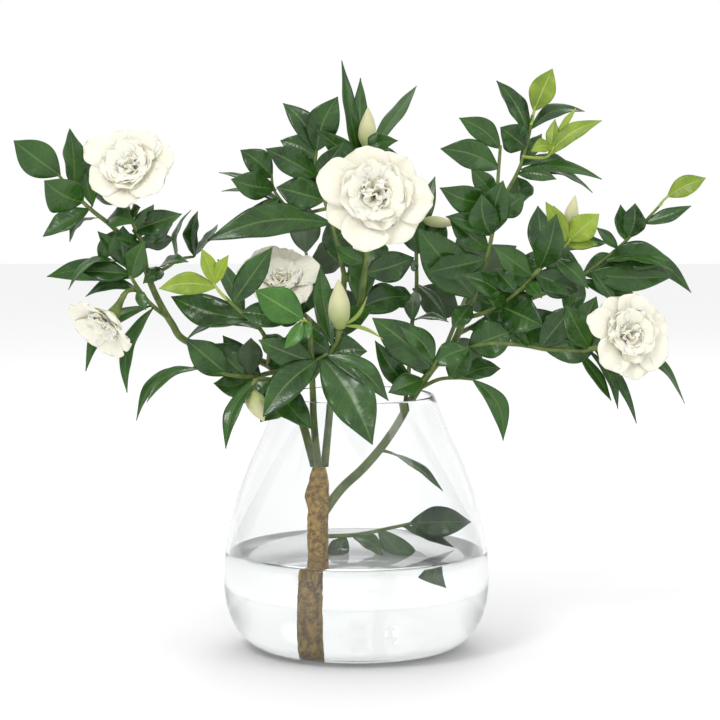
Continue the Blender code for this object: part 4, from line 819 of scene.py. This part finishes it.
# %% Skin a thin blade on both sides
def two_sides(places, marks, spot, normal, thickness, along, across):
    """Adds a blade's upper and lower point, each with its place on the blade."""
    for under, share in ((0.0, 0.5), (1.0, -0.5)):
        places.append(spot + normal * thickness * share)
        marks.append((along, across, under))


def blade_faces(rows, columns):
    """Faces of a blade with rows of doubled points: both sides, both rims and both ends."""
    line = (columns + 1) * 2
    faces = []
    for first in range(0, (rows - 1) * line, line):
        for a in range(first, first + columns * 2, 2):
            faces.append((a, a + 2, a + 2 + line, a + line))
            faces.append((a + 1, a + 1 + line, a + 3 + line, a + 3))
        last = first + line - 2
        faces.append((first, first + line, first + line + 1, first + 1))
        faces.append((last, last + 1, last + line + 1, last + line))
    for start in (0, (rows - 1) * line):
        for a in range(start, start + columns * 2, 2):
            end = (a, a + 1, a + 3, a + 2)
            faces.append(end if start == 0 else end[::-1])
    return faces


print("faces of a blade with 3 rows and 2 columns:", len(blade_faces(3, 2)))

# %% Shape a fine leaf
LEAF_ROWS = 34
LEAF_COLUMNS = 8
FINE_THICKNESS = 0.00045
STALK_ROWS = 3
STALK_RADIUS = 0.0008
VEIN_SPACING = 0.012
VEIN_SLANT = 1.5
PUCKER = 0.075


def fine_leaf(form, dice):
    """Places, marks of (along, across, upper or lower face), and the faces between them."""
    seat, root, tip, side, cross, normal, width, bow, span = form
    waves = dice.uniform(1.6, 3.2)
    phase = dice.uniform(0, math.tau)
    veins = 6 + round(span / VEIN_SPACING)
    places = []
    marks = []
    rows = []
    if (root - seat).length > STALK:
        rows = [(0.0, seat.lerp(root, step / STALK_ROWS), STALK_RADIUS)
                for step in range(STALK_ROWS)]
    for step in range(LEAF_ROWS + 1):
        along = step / LEAF_ROWS
        rise = math.sin(math.pi * along)
        centre = root.lerp(tip, along) - side * rise * bow + normal * rise * LEAF_LIFT * span
        thinnest = 0.00035 + 0.0004 * (1 - along)
        rows.append((along, centre, max(leaf_width(along) * width / 2, thinnest)))
    for along, centre, half in rows:
        for column in range(LEAF_COLUMNS + 1):
            across = column / LEAF_COLUMNS * 2 - 1
            fold = abs(across) * half * LEAF_FOLD
            wave = math.sin(math.tau * waves * along + phase * (1 if across > 0 else 0.6))
            edge = wave * across * across * half * 0.10
            furrow = abs(math.sin(math.pi * (veins * along - VEIN_SLANT * abs(across))))
            rim = min(1, 3 * (1 - abs(across)))
            swell = min(half, 0.012) * (furrow ** 0.7 - 0.5) * PUCKER * rim
            rib = -0.03 * half if column == LEAF_COLUMNS // 2 else 0
            place = centre + cross * half * across + normal * (fold + edge + swell + rib)
            two_sides(places, marks, place, normal, FINE_THICKNESS, along, across)
    return places, marks, blade_faces(len(rows), LEAF_COLUMNS)


print("points on a fine leaf without a stalk:", (LEAF_ROWS + 1) * (LEAF_COLUMNS + 1) * 2)

# %% [markdown]
# A petal is soft and thick, narrow at its root, broad and rounded at its end, with a rim that
# waves and rolls back. The furled middle of a double bloom is a crowd of small cupped petals, so
# the same rule makes those too, shorter and steeper and more crumpled.

# %% Shape a fine petal
PETAL_ROWS = 16
PETAL_COLUMNS = 12
PETAL_SKIN = 0.0006
WIDEST = 0.70


def petal_share(along):
    """Half width along a petal: it widens to three quarters, then rounds off."""
    if along < WIDEST:
        return 0.22 + 0.78 * math.sin(math.pi / 2 * along / WIDEST)
    return max(0.16, 1 - ((along - WIDEST) / 0.31) ** 2) ** 0.5


def fine_petal(middle, facing, petal, ruffle, dice, inset):
    """One petal on the plain petal's line, with a waved rim; inset moves its root inwards."""
    clock, length, width, cup, curl = petal
    first, second = petal_rows(middle, facing, *petal)[:2]
    cross = first[1]
    outward = (second[0] - first[0]).normalized()
    outward = (outward - facing * outward.dot(facing)).normalized()
    place = first[0] - outward * inset * TO_METRES
    places = []
    marks = []
    phase = dice.uniform(0, math.tau)
    beats = dice.choice((2, 3, 3))
    lean = dice.uniform(-0.18, 0.18)
    for row in range(PETAL_ROWS + 1):
        along = row / PETAL_ROWS
        pitch = math.radians(cup + (1 - along) * 20 - curl * along ** 2)
        ahead = outward * math.cos(pitch) + facing * math.sin(pitch)
        normal = facing * math.cos(pitch) - outward * math.sin(pitch)
        if row:
            place = place + ahead * (length - PETAL_ROOT) * TO_METRES / PETAL_ROWS
        half = width / 2 * petal_share(along) * TO_METRES
        for column in range(PETAL_COLUMNS + 1):
            across = column / PETAL_COLUMNS * 2 - 1
            bowl = across * across * half * (0.34 - 0.30 * along)
            wave = math.sin(beats * across * 2.2 + phase) * along ** 2 * ruffle * half
            swing = math.sin(beats * 2.3 * across + 5 * along + phase * 3)
            wave += swing * along * ruffle * half * 0.35
            crease = math.sin(along * 9 + phase * 2) * abs(across) * 0.05 * half
            spot = place + cross * (half * across + lean * half * along)
            spot += normal * (bowl + wave + crease)
            spot += ahead * (-abs(across) ** 3 * along ** 3 * length * 0.06 * TO_METRES)
            two_sides(places, marks, spot, normal, PETAL_SKIN, along, across)
    return places, marks, blade_faces(PETAL_ROWS + 1, PETAL_COLUMNS)


print("points on a fine petal:", (PETAL_ROWS + 1) * (PETAL_COLUMNS + 1) * 2)

# %% [markdown]
# In a closed bud the petals wrap round each other in a slow spiral. One turned body with faint
# winding ridges shows that, and is far lighter than the petals themselves would be.

# %% Shape a fine bud
BUD_ROWS = 28
BUD_SIDES = 24


def fine_bud(seat, ahead, tip, width, dice):
    """A furled bud from the stem's end to its tip."""
    start = seat + ahead * SEAT_GAP * TO_METRES
    neck = seat + ahead * (SEAT_GAP * TO_METRES + 0.001)
    span = tip - neck
    line = span.normalized()
    side = line.cross(Vector((0.2, 1, 0.1))).normalized()
    other = line.cross(side)
    turn = dice.uniform(0, math.tau)
    places = []
    marks = []
    faces = []
    for row in range(BUD_ROWS + 1):
        along = row / BUD_ROWS
        swell = math.sin(math.pi * min(1, along ** 0.72 * 0.97 + 0.02)) ** 0.9
        radius = max(width / 2 * swell * 0.97, 1.7 if along < 0.2 else 0.4)
        centre = start.lerp(neck + span * along, min(1, along * 9))
        for corner in range(BUD_SIDES):
            angle = math.tau * corner / BUD_SIDES
            ridge = abs(math.sin(1.5 * angle + 4.2 * along + turn))
            reach = radius * (0.90 + 0.10 * ridge ** 0.5) * TO_METRES
            places.append(centre + (side * math.cos(angle) + other * math.sin(angle)) * reach)
            marks.append((along, ridge * 2 - 1, 0.0))
    for a in range(0, BUD_ROWS * BUD_SIDES, BUD_SIDES):
        for corner in range(BUD_SIDES):
            after = (corner + 1) % BUD_SIDES
            faces.append((a + corner, a + after, a + BUD_SIDES + after, a + BUD_SIDES + corner))
    faces.append(tuple(reversed(range(BUD_SIDES))))
    faces.append(tuple(range(BUD_ROWS * BUD_SIDES, (BUD_ROWS + 1) * BUD_SIDES)))
    return places, marks, faces


print("points on a fine bud:", (BUD_ROWS + 1) * BUD_SIDES)

# %% Gather shapes into one mesh
MARK_NAMES = ("along", "across", "under")
MARKS_ELSEWHERE = (0.5, 0.0, 0.0)


def gather(name, shapes, stalks, materials):
    """One object from many shapes; each carries its place on the blade and its own tint."""
    places = []
    faces = []
    marks = []
    tints = []
    for shape_places, shape_marks, shape_faces, tint in shapes:
        first = len(places)
        places.extend(tuple(place) for place in shape_places)
        faces.extend(tuple(first + corner for corner in face) for face in shape_faces)
        marks.extend(shape_marks)
        tints.extend([tint] * len(shape_places))
    plain = bpy.data.meshes.new("plain")
    plain.from_pydata(places, [], faces)
    solid = bmesh.new()
    solid.from_mesh(plain)
    bpy.data.meshes.remove(plain)
    bmesh.ops.recalc_face_normals(solid, faces=solid.faces)
    blades = len(solid.faces)
    for stalk in stalks:
        solid.from_mesh(stalk)
    solid.faces.ensure_lookup_table()
    for number, face in enumerate(solid.faces):
        face.smooth = True
        face.material_index = 0 if number < blades else 1
    mesh = bpy.data.meshes.new(name)
    solid.to_mesh(mesh)
    solid.free()
    spare = len(mesh.vertices) - len(places)
    columns = {label: [mark[index] for mark in marks] + [MARKS_ELSEWHERE[index]] * spare
               for index, label in enumerate(MARK_NAMES)}
    columns["tint"] = tints + [0.5] * spare
    for label, values in columns.items():
        mesh.attributes.new(label, "FLOAT", "POINT").data.foreach_set("value", values)
    for material in materials:
        mesh.materials.append(material)
    return add_object(name, mesh)


print("values that each point carries:", MARK_NAMES + ("tint",))

# %% [markdown]
# Many finishes share one thing: a colour that wanders a little from place to place. A small
# shader group gives that mottling, and each material places it with its own scale and strength.

# %% Build the mottling group
def mottle_group():
    group = bpy.data.node_groups.new("mottle", "ShaderNodeTree")
    add_sockets(group, "INPUT", (("Dark", "Color"), ("Light", "Color"), ("Scale", "Float"),
                                 ("Contrast", "Float")))
    add_sockets(group, "OUTPUT", (("Color", "Color"), ("Mask", "Float")))
    board = Board(group)
    given = board.add("NodeGroupInput").outputs
    place = board.add("ShaderNodeTexCoord").outputs["Object"]
    noise = board.add("ShaderNodeTexNoise", {"Vector": place, "Scale": given["Scale"],
                                             "Detail": 4.0}).outputs["Fac"]
    centred = board.maths("SUBTRACT", noise, 0.5)
    gain = board.add("ShaderNodeMath", {0: centred, 1: given["Contrast"], 2: 0.5},
                     operation="MULTIPLY_ADD", use_clamp=True).outputs[0]
    colour = board.blend(gain, given["Dark"], given["Light"])
    board.add("NodeGroupOutput", {"Color": colour, "Mask": gain})
    return group


MOTTLE = mottle_group()
print("mottling group outputs:", [item.name for item in MOTTLE.interface.items_tree
                                  if item.in_out == "OUTPUT"])

# %% Start a material
def new_material(name, values):
    """A material with plain values; also gives its board and its shader's inputs."""
    material = bpy.data.materials.new(name)
    material.use_nodes = True
    board = Board(material.node_tree)
    shader = board.nodes["Principled BSDF"].inputs
    for label, value in values.items():
        board.feed(shader[label], value)
    return material, board, shader


def mottled_material(name, roughness, dark, light, scale, contrast):
    """A material with the mottling group, not linked yet, whose outputs come last."""
    values = {"Dark": dark, "Light": light, "Scale": scale, "Contrast": contrast}
    material, board, shader = new_material(name, {"Roughness": roughness})
    return material, board, shader, board.add("ShaderNodeGroup", values, node_tree=MOTTLE).outputs


print("mottling group inputs:", [item.name for item in MOTTLE.interface.items_tree
                                 if item.in_out == "INPUT"])

# %% [markdown]
# The leaf's finish follows the blade: a pale midrib, thin pale side veins, a duller and paler
# underside, and a tint of its own for each leaf. The blade's own attributes say how far along and
# across each point lies, so the veins bend with the leaf.

# %% Paint the leaves
PAINTED_VEINS = 9.0
VEIN_WIDTH = 0.10
VEIN_STRENGTH = 0.30
RIB_WIDTH = 0.055
RIB_STRENGTH = 0.75


def leaf_material(name, dark, light, pale, underside, roughness):
    material, board, shader, mottle = mottled_material(name, roughness, dark, light, 60.0, 2.4)
    across = board.maths("ABSOLUTE", board.attribute("across"))
    own = board.blend(board.attribute("tint"), mottle["Color"], light)
    slant = board.maths("MULTIPLY", across, -VEIN_SLANT)
    beat = board.maths("MULTIPLY_ADD", board.attribute("along"), PAINTED_VEINS, slant)
    wave = board.maths("ABSOLUTE", board.maths("SINE", board.maths("MULTIPLY", beat, math.pi)))
    vein = board.maths("MULTIPLY", board.maths("LESS_THAN", wave, VEIN_WIDTH), VEIN_STRENGTH)
    rib = board.maths("MULTIPLY", board.maths("LESS_THAN", across, RIB_WIDTH), RIB_STRENGTH)
    veined = board.blend(board.maths("MAXIMUM", vein, rib), own, pale)
    under = board.attribute("under")
    board.feed(shader["Base Color"], board.blend(under, veined, underside))
    shine = board.maths("MULTIPLY_ADD", under, 0.25, roughness)
    board.feed(shader["Roughness"], board.maths("MULTIPLY_ADD", mottle["Mask"], 0.10, shine))
    place = board.add("ShaderNodeTexCoord").outputs["Object"]
    grain = board.add("ShaderNodeTexNoise", {"Vector": place, "Scale": 420.0}).outputs["Fac"]
    board.feed(shader["Normal"], board.bump(grain, 0.18, 0.0006))
    return material


LEAF = leaf_material("dark_leaf", (0.005, 0.026, 0.004), (0.034, 0.115, 0.012),
                     (0.11, 0.20, 0.045), (0.045, 0.080, 0.030), 0.22)
YOUNG = leaf_material("young_leaf", (0.13, 0.22, 0.012), (0.30, 0.42, 0.03),
                      (0.42, 0.52, 0.12), (0.20, 0.29, 0.05), 0.34)
FRESH = leaf_material("fresh_leaf", (0.015, 0.075, 0.008), (0.055, 0.19, 0.018),
                      (0.16, 0.30, 0.06), (0.09, 0.16, 0.04), 0.26)
print("leaf materials:", [material.name for material in (LEAF, YOUNG, FRESH)])

# %% [markdown]
# Green stems are smooth with soft mottling. Old wood is rough, with pale specks where the bark
# has split, so its material adds a speckled mask and a strong bump.

# %% Paint the stems and the bark
def stem_material():
    material, board, shader, mottle = mottled_material("green_stem", 0.5, (0.06, 0.10, 0.018),
                                                       (0.19, 0.26, 0.055), 130.0, 2.0)
    board.feed(shader["Base Color"], mottle["Color"])
    return material


def bark_material():
    material, board, shader, mottle = mottled_material("tan_bark", 0.8, (0.17, 0.085, 0.012),
                                                       (0.56, 0.35, 0.075), 260.0, 3.6)
    place = board.add("ShaderNodeTexCoord").outputs["Object"]
    specks = board.add("ShaderNodeTexVoronoi", {"Vector": place, "Scale": 620.0}).outputs
    mask = board.maths("LESS_THAN", specks["Distance"], 0.24)
    board.feed(shader["Base Color"], board.blend(mask, mottle["Color"], (0.66, 0.47, 0.14)))
    board.feed(shader["Normal"], board.bump(mottle["Mask"], 0.7, 0.0012))
    return material


STEM = stem_material()
BARK = bark_material()
print("stem materials:", STEM.name, BARK.name)

# %% [markdown]
# A petal lets light through, which softens its shadows, so its material has a strong subsurface
# share. Its root is yellower than its rim, and faint lines run along it. Buds use the same
# finish with greener colours.

# %% Paint the petals and buds
LINE_COLOUR = (0.55, 0.56, 0.40)


def petal_material(name, white, root, reach):
    dark = tuple(value * 0.94 for value in white)
    material, board, shader, mottle = mottled_material(name, 0.55, dark, white, 45.0, 1.6)
    gone = board.maths("DIVIDE", board.attribute("along"), reach)
    fade = board.maths("MAXIMUM", board.maths("SUBTRACT", 1.0, gone), 0.0)
    lines = board.maths("SINE", board.maths("MULTIPLY", board.attribute("across"), 46.0))
    shade = board.maths("MULTIPLY_ADD", lines, 0.015, 0.015)
    base = board.blend(fade, mottle["Color"], root)
    board.feed(shader["Base Color"], board.blend(shade, base, LINE_COLOUR))
    board.feed(shader["Subsurface Weight"], 0.6)
    board.feed(shader["Subsurface Radius"], (0.007, 0.006, 0.0038))
    board.feed(shader["Sheen Weight"], 0.2)
    board.feed(shader["Normal"], board.bump(lines, 0.15, 0.0005))
    return material


PETAL = petal_material("cream_petal", (0.95, 0.925, 0.80), (0.84, 0.77, 0.36), 0.30)
BUD = petal_material("bud_cream", (0.72, 0.71, 0.42), (0.26, 0.36, 0.06), 0.6)
print("petal materials:", PETAL.name, BUD.name)

# %% [markdown]
# Glass and water are both clear and smooth. They differ in how strongly they bend light, and
# that is what makes the trunk look broken at the water's surface.

# %% Make the glass and the water
CLEAR_TINT = (0.985, 0.995, 0.992)


def clear_material(name, bending):
    return new_material(name, {"Base Color": CLEAR_TINT, "Roughness": 0.0, "IOR": bending,
                               "Transmission Weight": 1.0})[0]


GLASS = clear_material("clear_glass", 1.45)
WATER = clear_material("clear_water", 1.33)
print("clear materials:", GLASS.name, WATER.name)

# %% [markdown]
# The vase is a turned shape, so it is one outline spun round the axis. The outline is rounded by
# a smooth curve first, and the spin has many steps, because glass shows every facet twice. The
# water reaches a hair into the glass wall, since a film of air there would shine like silver.

# %% Turn an outline round the vase's axis
FINE_SIDES = 144


def inner_wall():
    """The vase's inner wall from the floor to the rim, as (radius, height)."""
    wall = [(radius - VASE_WALL, height) for radius, height in VASE_OUTLINE
            if height > VASE_FLOOR + 3]
    return [(wall[0][0] - 12, VASE_FLOOR)] + wall


def lathe(outline, sides):
    """Vertices and faces of a closed turned shape; the outline runs from axis to axis."""
    vertices = [Vector((0, 0, outline[0][1])), Vector((0, 0, outline[-1][1]))]
    faces = []
    rings = outline[1:-1]
    for radius, height in rings:
        for corner in range(sides):
            angle = math.tau * corner / sides
            vertices.append(Vector((radius * math.cos(angle), radius * math.sin(angle), height)))
    last = 2 + (len(rings) - 1) * sides
    for corner in range(sides):
        after = (corner + 1) % sides
        faces.append((0, 2 + corner, 2 + after))
        faces.append((1, last + after, last + corner))
        for a in range(2, last, sides):
            faces.append((a + corner, a + after, a + sides + after, a + sides + corner))
    return [place * TO_METRES for place in vertices], faces


def fine_outline(points, steps):
    """The same outline with many more points, on a smooth curve."""
    curve = smooth([(radius, 0, height) for radius, height in points], steps)
    return [(point.x, point.z) for point in curve]


def turned_piece(name, outline, material, node):
    vertices, faces = lathe(outline, FINE_SIDES)
    piece = gather(name, [(vertices, [(0, 0, 0)] * len(vertices), faces, 0.5)], [], [material])
    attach(piece, "root")
    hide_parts(node)
    return piece


print("the inner wall starts at (radius, height):", inner_wall()[0])

# %% Turn the vase and the water
RIM_STEPS = 8
OVERLAP = 0.25

outer_wall = fine_outline(VASE_OUTLINE, 46)
inner_line = fine_outline(inner_wall(), 40)
rim_middle = VASE_OUTLINE[-1][0] - VASE_WALL / 2
rim = []
for step in range(1, RIM_STEPS):
    angle = math.pi * step / RIM_STEPS
    rim.append((rim_middle + math.cos(angle) * VASE_WALL / 2, VASE_HEIGHT + math.sin(angle)))
shell = [(0, 0)] + outer_wall + rim + inner_line[::-1] + [(0, VASE_FLOOR)]
vase = turned_piece("glass_vase", shell, GLASS, "vase")
wet = [(radius + OVERLAP, height) for radius, height in inner_line if height < WATER_LEVEL - 1]
wet[0] = (wet[0][0], VASE_FLOOR - OVERLAP)
edge = next(point for point in inner_line if point[1] > WATER_LEVEL - 1)
wet += [(edge[0] + OVERLAP, WATER_LEVEL - 0.6), (edge[0] - 1.5, WATER_LEVEL - 0.05),
        (edge[0] - 5, WATER_LEVEL)]
body = [(0, VASE_FLOOR - OVERLAP)] + wet + [(0, WATER_LEVEL)]
water = turned_piece("still_water", body, WATER, "water")
print("vase corners:", len(vase.data.vertices), "water corners:", len(water.data.vertices))

# %% [markdown]
# Now the branch itself. First every stem's path and thickness is worked out, with blooms and buds
# at their ends, and all of it stands as neighbours for the leaves to keep clear of.

# %% Set up the standing shapes
PLAIN_SIDES = 28
LIMB_SIDES = 8
STEM_SIDES = 6
TRUNK_SIDES = 12
CARRIER_END = 2.4


def water_outline(gap):
    """The water's plain outline, off the glass by a gap, up to its level surface."""
    wall = [(radius - gap, height) for radius, height in inner_wall() if height < WATER_LEVEL]
    wall[0] = (wall[0][0], VASE_FLOOR + gap)
    outer = [point for point in inner_wall() if point[1] > WATER_LEVEL][0]
    below = wall[-1]
    share = (WATER_LEVEL - below[1]) / (outer[1] - below[1])
    edge = (below[0] + (outer[0] - gap - below[0]) * share, WATER_LEVEL)
    return [(0, VASE_FLOOR + gap)] + wall + [edge, (0, WATER_LEVEL)]


standing = Neighbours()
plain_rim = (VASE_OUTLINE[-1][0] - VASE_WALL * 0.5, VASE_HEIGHT + 1.0)
plain_vase = [(0, 0), *VASE_OUTLINE, plain_rim, *reversed(inner_wall()), (0, VASE_FLOOR)]
standing.add("vase", *lathe(plain_vase, PLAIN_SIDES))
standing.add("water", *lathe(water_outline(SEAT_GAP), PLAIN_SIDES))
carriers = {entry[0] for entry in (*BLOOMS.values(), *BUDS.values())}
paths = {"trunk": (trunk_path, trunk_radii, TRUNK_SIDES)}
for name, (points, first, last) in LIMBS.items():
    path = stem_path(points)
    paths[name] = (path, sizes_along(len(path), first, last), LIMB_SIDES)
for name, (parent, points, first, last, leaves) in (STEMS | LIME_SHOOTS).items():
    path = stem_path(points)
    end = CARRIER_END if name in carriers else None
    paths[name] = (path, sizes_along(len(path), first, last, end), STEM_SIDES)
for name, (path, radii, sides) in paths.items():
    standing.add(name, *tube(path, radii, sides))
print("stems:", len(paths))

# %% [markdown]
# A full gardenia has broad outer petals, a ring of smaller ones in front of them, and a crowd
# round the heart that folds over it. Each of the last stands 137.5 degrees on from the one
# before, the turn by which plants set petals so that none hides behind another.

# %% Make the blooms
MIDDLE_PETALS = 8
HEART_PETALS = 13
GROWING_TURN = 137.5


def bloom_petals(reach, cup, outer):
    """A bloom's petals from the outside in: (petal, forward shift, ruffle, inset)."""
    petals = []
    for clock, length, width, lean, curl, forward in whorls(reach, cup, outer):
        petals.append(((clock, length, width * 1.04, lean, curl), forward, 0.11, 0.0))
    for number in range(MIDDLE_PETALS):
        petal = (45 * number + 12, reach * (0.80 - 0.05 * (number % 2)), reach * 0.66,
                 cup + 14 + 6 * (number % 3), 26)
        petals.append((petal, 1.2 + 0.4 * (number % 2), 0.20, 1.0))
    for number in range(HEART_PETALS):
        tight = number / (HEART_PETALS - 1)
        petal = (GROWING_TURN * number, reach * (0.56 - 0.20 * tight),
                 reach * (0.54 - 0.16 * tight), 34 + 70 * tight, 24 - 50 * tight)
        petals.append((petal, 2.0 + 1.5 * tight, 0.30, 2.0 + 1.6 * tight))
    return petals


dice = random.Random(11)
for name, entry in BLOOMS.items():
    seat, ahead = stem_end(paths[entry[0]][0])
    for shape in bloom_meshes(seat, ahead, entry):
        standing.add(name, *shape)
    middle, facing = bloom_place(entry)
    shapes = []
    for petal, forward, ruffle, inset in bloom_petals(*entry[3:]):
        root = middle + facing * forward * TO_METRES
        shapes.append((*fine_petal(root, facing, petal, ruffle, dice, inset), dice.random()))
    start = seat + ahead * SEAT_GAP * TO_METRES
    back = middle - facing * 0.005
    neck = stem_mesh([start, start.lerp(back, 0.5), back, middle - facing * 0.001],
                     [0.0021, 0.0028, 0.0048, 0.0052], STEM, 14, 0.5)
    bloom = gather("open_" + name, shapes, [neck], [PETAL, STEM])
    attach(bloom, "root")
    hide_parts(name)
print("blooms:", len(BLOOMS))

# %% Make the buds
for name, (stem, tip, width, straps) in BUDS.items():
    standing.add(name, *bud_mesh(*stem_end(paths[stem][0]), seen(*tip), width))
bud_shapes = {}
for name, (stem, tip, width, straps) in BUDS.items():
    seat, ahead = stem_end(paths[stem][0])
    middle = [seat + ahead * 0.0035, seat + ahead * 0.0060]
    bud_shapes[name] = [(*fine_bud(seat, ahead, seen(*tip), width, dice), 0.5)]
    for strap in straps:
        rows, form = clear_leaf(strap, middle, 0.0, name, standing)
        if rows:
            standing.add(name, *blade_mesh(rows, LEAF_THICKNESS, 0.0))
            places, marks, faces = fine_leaf(form, dice)
            at_root = [(0.0, across, under) for along, across, under in marks]
            bud_shapes[name].append((places, at_root, faces, 0.5))
for name, shapes in bud_shapes.items():
    bud = gather("closed_" + name, shapes, [], [BUD])
    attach(bud, "root")
    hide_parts(name)
print("buds:", len(bud_shapes))

# %% [markdown]
# Every leaf takes its turn to find a clear place: first the young shoots, then the stems in the
# order in which they were laid out, then those at the back, and last the leaves set by chance.
# Then each stem and its leaves become one piece that stands for the plain solid.

# %% Let each leaf find its place
def off_parent(parent):
    """How far a stem's leaves keep from its root, so that none grows inside its parent."""
    return paths[parent][1][0] + 0.004


order = []
for name, (parent, points, first, last, leaves) in (LIME_SHOOTS | STEMS).items():
    order.extend((name, leaf, off_parent(parent)) for leaf in leaves)
order.sort(key=lambda item: item[0].startswith("stem_back"))
for number, (name, count) in enumerate(MORE_LEAVES.items()):
    parent, points = STEMS[name][:2]
    order.extend((name, leaf, off_parent(parent)) for leaf in more_leaves(number, points, count))
leaf_forms = {}
for name, leaf, keep_off in order:
    rows, form = clear_leaf(leaf, paths[name][0], keep_off, name, standing)
    if rows:
        standing.add(name, *blade_mesh(rows, LEAF_THICKNESS, LEAF_FOLD))
        leaf_forms.setdefault(name, []).append(form)
print("leaves:", sum(len(forms) for forms in leaf_forms.values()))

# %% Make the stems and their leaves
for name, (path, radii, sides) in paths.items():
    if name == "trunk":
        continue
    young = name in LIME_SHOOTS
    shapes = []
    for form in leaf_forms.get(name, []):
        tint = dice.uniform(0.0, 0.85) ** 1.4
        shapes.append((*fine_leaf(form, dice), tint))
    spacing = 0.024 if name in LIMBS else 0.013
    stalk = stem_mesh(path, radii, STEM, 12, spacing)
    blade = FRESH if name == "lime_hanging" else YOUNG if young else LEAF
    piece = gather("grown_" + name, shapes, [stalk], [blade, YOUNG if young else STEM])
    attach(piece, "root")
    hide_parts(name)
print("stems made:", len(paths) - 1)

# %% [markdown]
# The trunk is old wood: thicker, scarred and knobbly. It comes from the same tree of nodes with
# closer scars, and its skin is then pushed in and out by a noise that stays the same each run.

# %% Make the trunk
KNOB_HEIGHT = 0.118
KNOB_SPREAD = 0.006
KNOB_RISE = 0.0026
CROWN_START = 0.122
CROWN_END = 0.139
CROWN_DEPTH = 0.0030


def trunk_axis(height):
    """The point of the trunk's middle line at a height."""
    for low, high in zip(trunk_path, trunk_path[1:]):
        if height <= high.z:
            return low.lerp(high, max(0.0, (height - low.z) / (high.z - low.z)))
    return Vector((trunk_path[-1].x, trunk_path[-1].y, height))


wood = stem_mesh(trunk_path, trunk_radii, BARK, 40, 0.016)
for corner in wood.vertices:
    height = corner.co.z
    away = (corner.co - trunk_axis(height)).normalized()
    lump = rough.noise(corner.co * 190) * 0.0006 + rough.noise(corner.co * 520) * 0.0004
    near_knob = math.exp(-((height - KNOB_HEIGHT) / KNOB_SPREAD) ** 2)
    knob = max(0.0, -away.x) ** 3 * near_knob * KNOB_RISE
    crown = max(0.0, (height - CROWN_START) / (CROWN_END - CROWN_START)) ** 2 * CROWN_DEPTH
    corner.co += away * (lump - 0.0003 + knob - crown)
trunk = gather("old_trunk", [], [wood], [BARK, BARK])
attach(trunk, "root")
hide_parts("trunk")
print("trunk corners:", len(trunk.data.vertices))

# %% [markdown]
# A clear vase has no colour of its own: it shows what stands round it. A pale floor, a bright
# sky that dims to the far left and right gives it grey edges, and one large soft light gives the
# leaves their highlights. Nothing stands beside the vase, so it can be seen from every side.

# %% Lay the floor
FLOOR_REACH = 4
FLOOR_DROP = -0.0004
corners = [(x * FLOOR_REACH, y * FLOOR_REACH, FLOOR_DROP)
           for x, y in ((-1, -1), (1, -1), (1, 1), (-1, 1))]
floor_mesh = bpy.data.meshes.new("pale_floor")
floor_mesh.from_pydata(corners, [], [(0, 1, 2, 3)])
pale = new_material("pale_floor", {"Base Color": (0.98, 0.98, 0.98), "Roughness": 0.9})[0]
floor_mesh.materials.append(pale)
floor = add_object("pale_floor", floor_mesh)
print("the floor reaches, in metres:", FLOOR_REACH)

# %% Light the sky
SIDE_GREY = (0.42, 0.43, 0.44)
DIM_START = 0.55
DIM_END = 0.95
world = bpy.data.worlds.new("bright_room")
bpy.context.scene.world = world
world.use_nodes = True
board = Board(world.node_tree)
sky = board.nodes["Background"].inputs
board.feed(sky["Strength"], 1.0)
heading = board.add("ShaderNodeTexCoord").outputs["Generated"]
parts = board.add("ShaderNodeSeparateXYZ", {"Vector": heading}).outputs
dim = board.add("ShaderNodeMapRange", {"Value": board.maths("ABSOLUTE", parts["X"]),
                                       "From Min": DIM_START, "From Max": DIM_END},
                interpolation_type="SMOOTHSTEP").outputs["Result"]
board.feed(sky["Color"], board.blend(dim, (1.0, 1.0, 1.0), SIDE_GREY))
print("nodes in the sky:", len(board.nodes))

# %% Hang the lights
AIM_HEIGHT = 0.25
LIGHTS = {
    "main_light": ((-0.9, -1.5, 1.9), 0.6, 14),
    "fill_light": ((1.5, -0.9, 1.2), 0.8, 3),
    "back_light": ((0.3, 1.6, 1.5), 1.0, 5),
}


def turn_to(made, target):
    """Points a light or a camera at a place."""
    aim = Vector(target) - Vector(made.location)
    made.rotation_euler = aim.to_track_quat("-Z", "Y").to_euler()


for name, (place, size, power) in LIGHTS.items():
    lamp = bpy.data.lights.new(name, "AREA")
    lamp.shape = "DISK"
    lamp.size = size
    lamp.energy = power
    holder = add_object(name, lamp)
    holder.location = place
    turn_to(holder, (0, 0, AIM_HEIGHT))
print("lights:", len(LIGHTS))

# %% [markdown]
# The camera stands where the first cells put the eye, with a long lens, so that the branch lies
# in the picture as it was laid out.

# %% Place the camera
lens = bpy.data.cameras.new("camera")
lens.sensor_width = 36
lens.lens = 147.5
camera = add_object("camera", lens)
camera.location = (VIEW_MIDDLE[0] * TO_METRES, -VIEW_DISTANCE * TO_METRES, VIEW_HEIGHT * TO_METRES)
turn_to(camera, Vector((VIEW_MIDDLE[0], 0, VIEW_MIDDLE[1])) * TO_METRES)
bpy.context.scene.camera = camera
bpy.context.scene.view_settings.view_transform = "Standard"
print("the camera stands at:", camera.location)
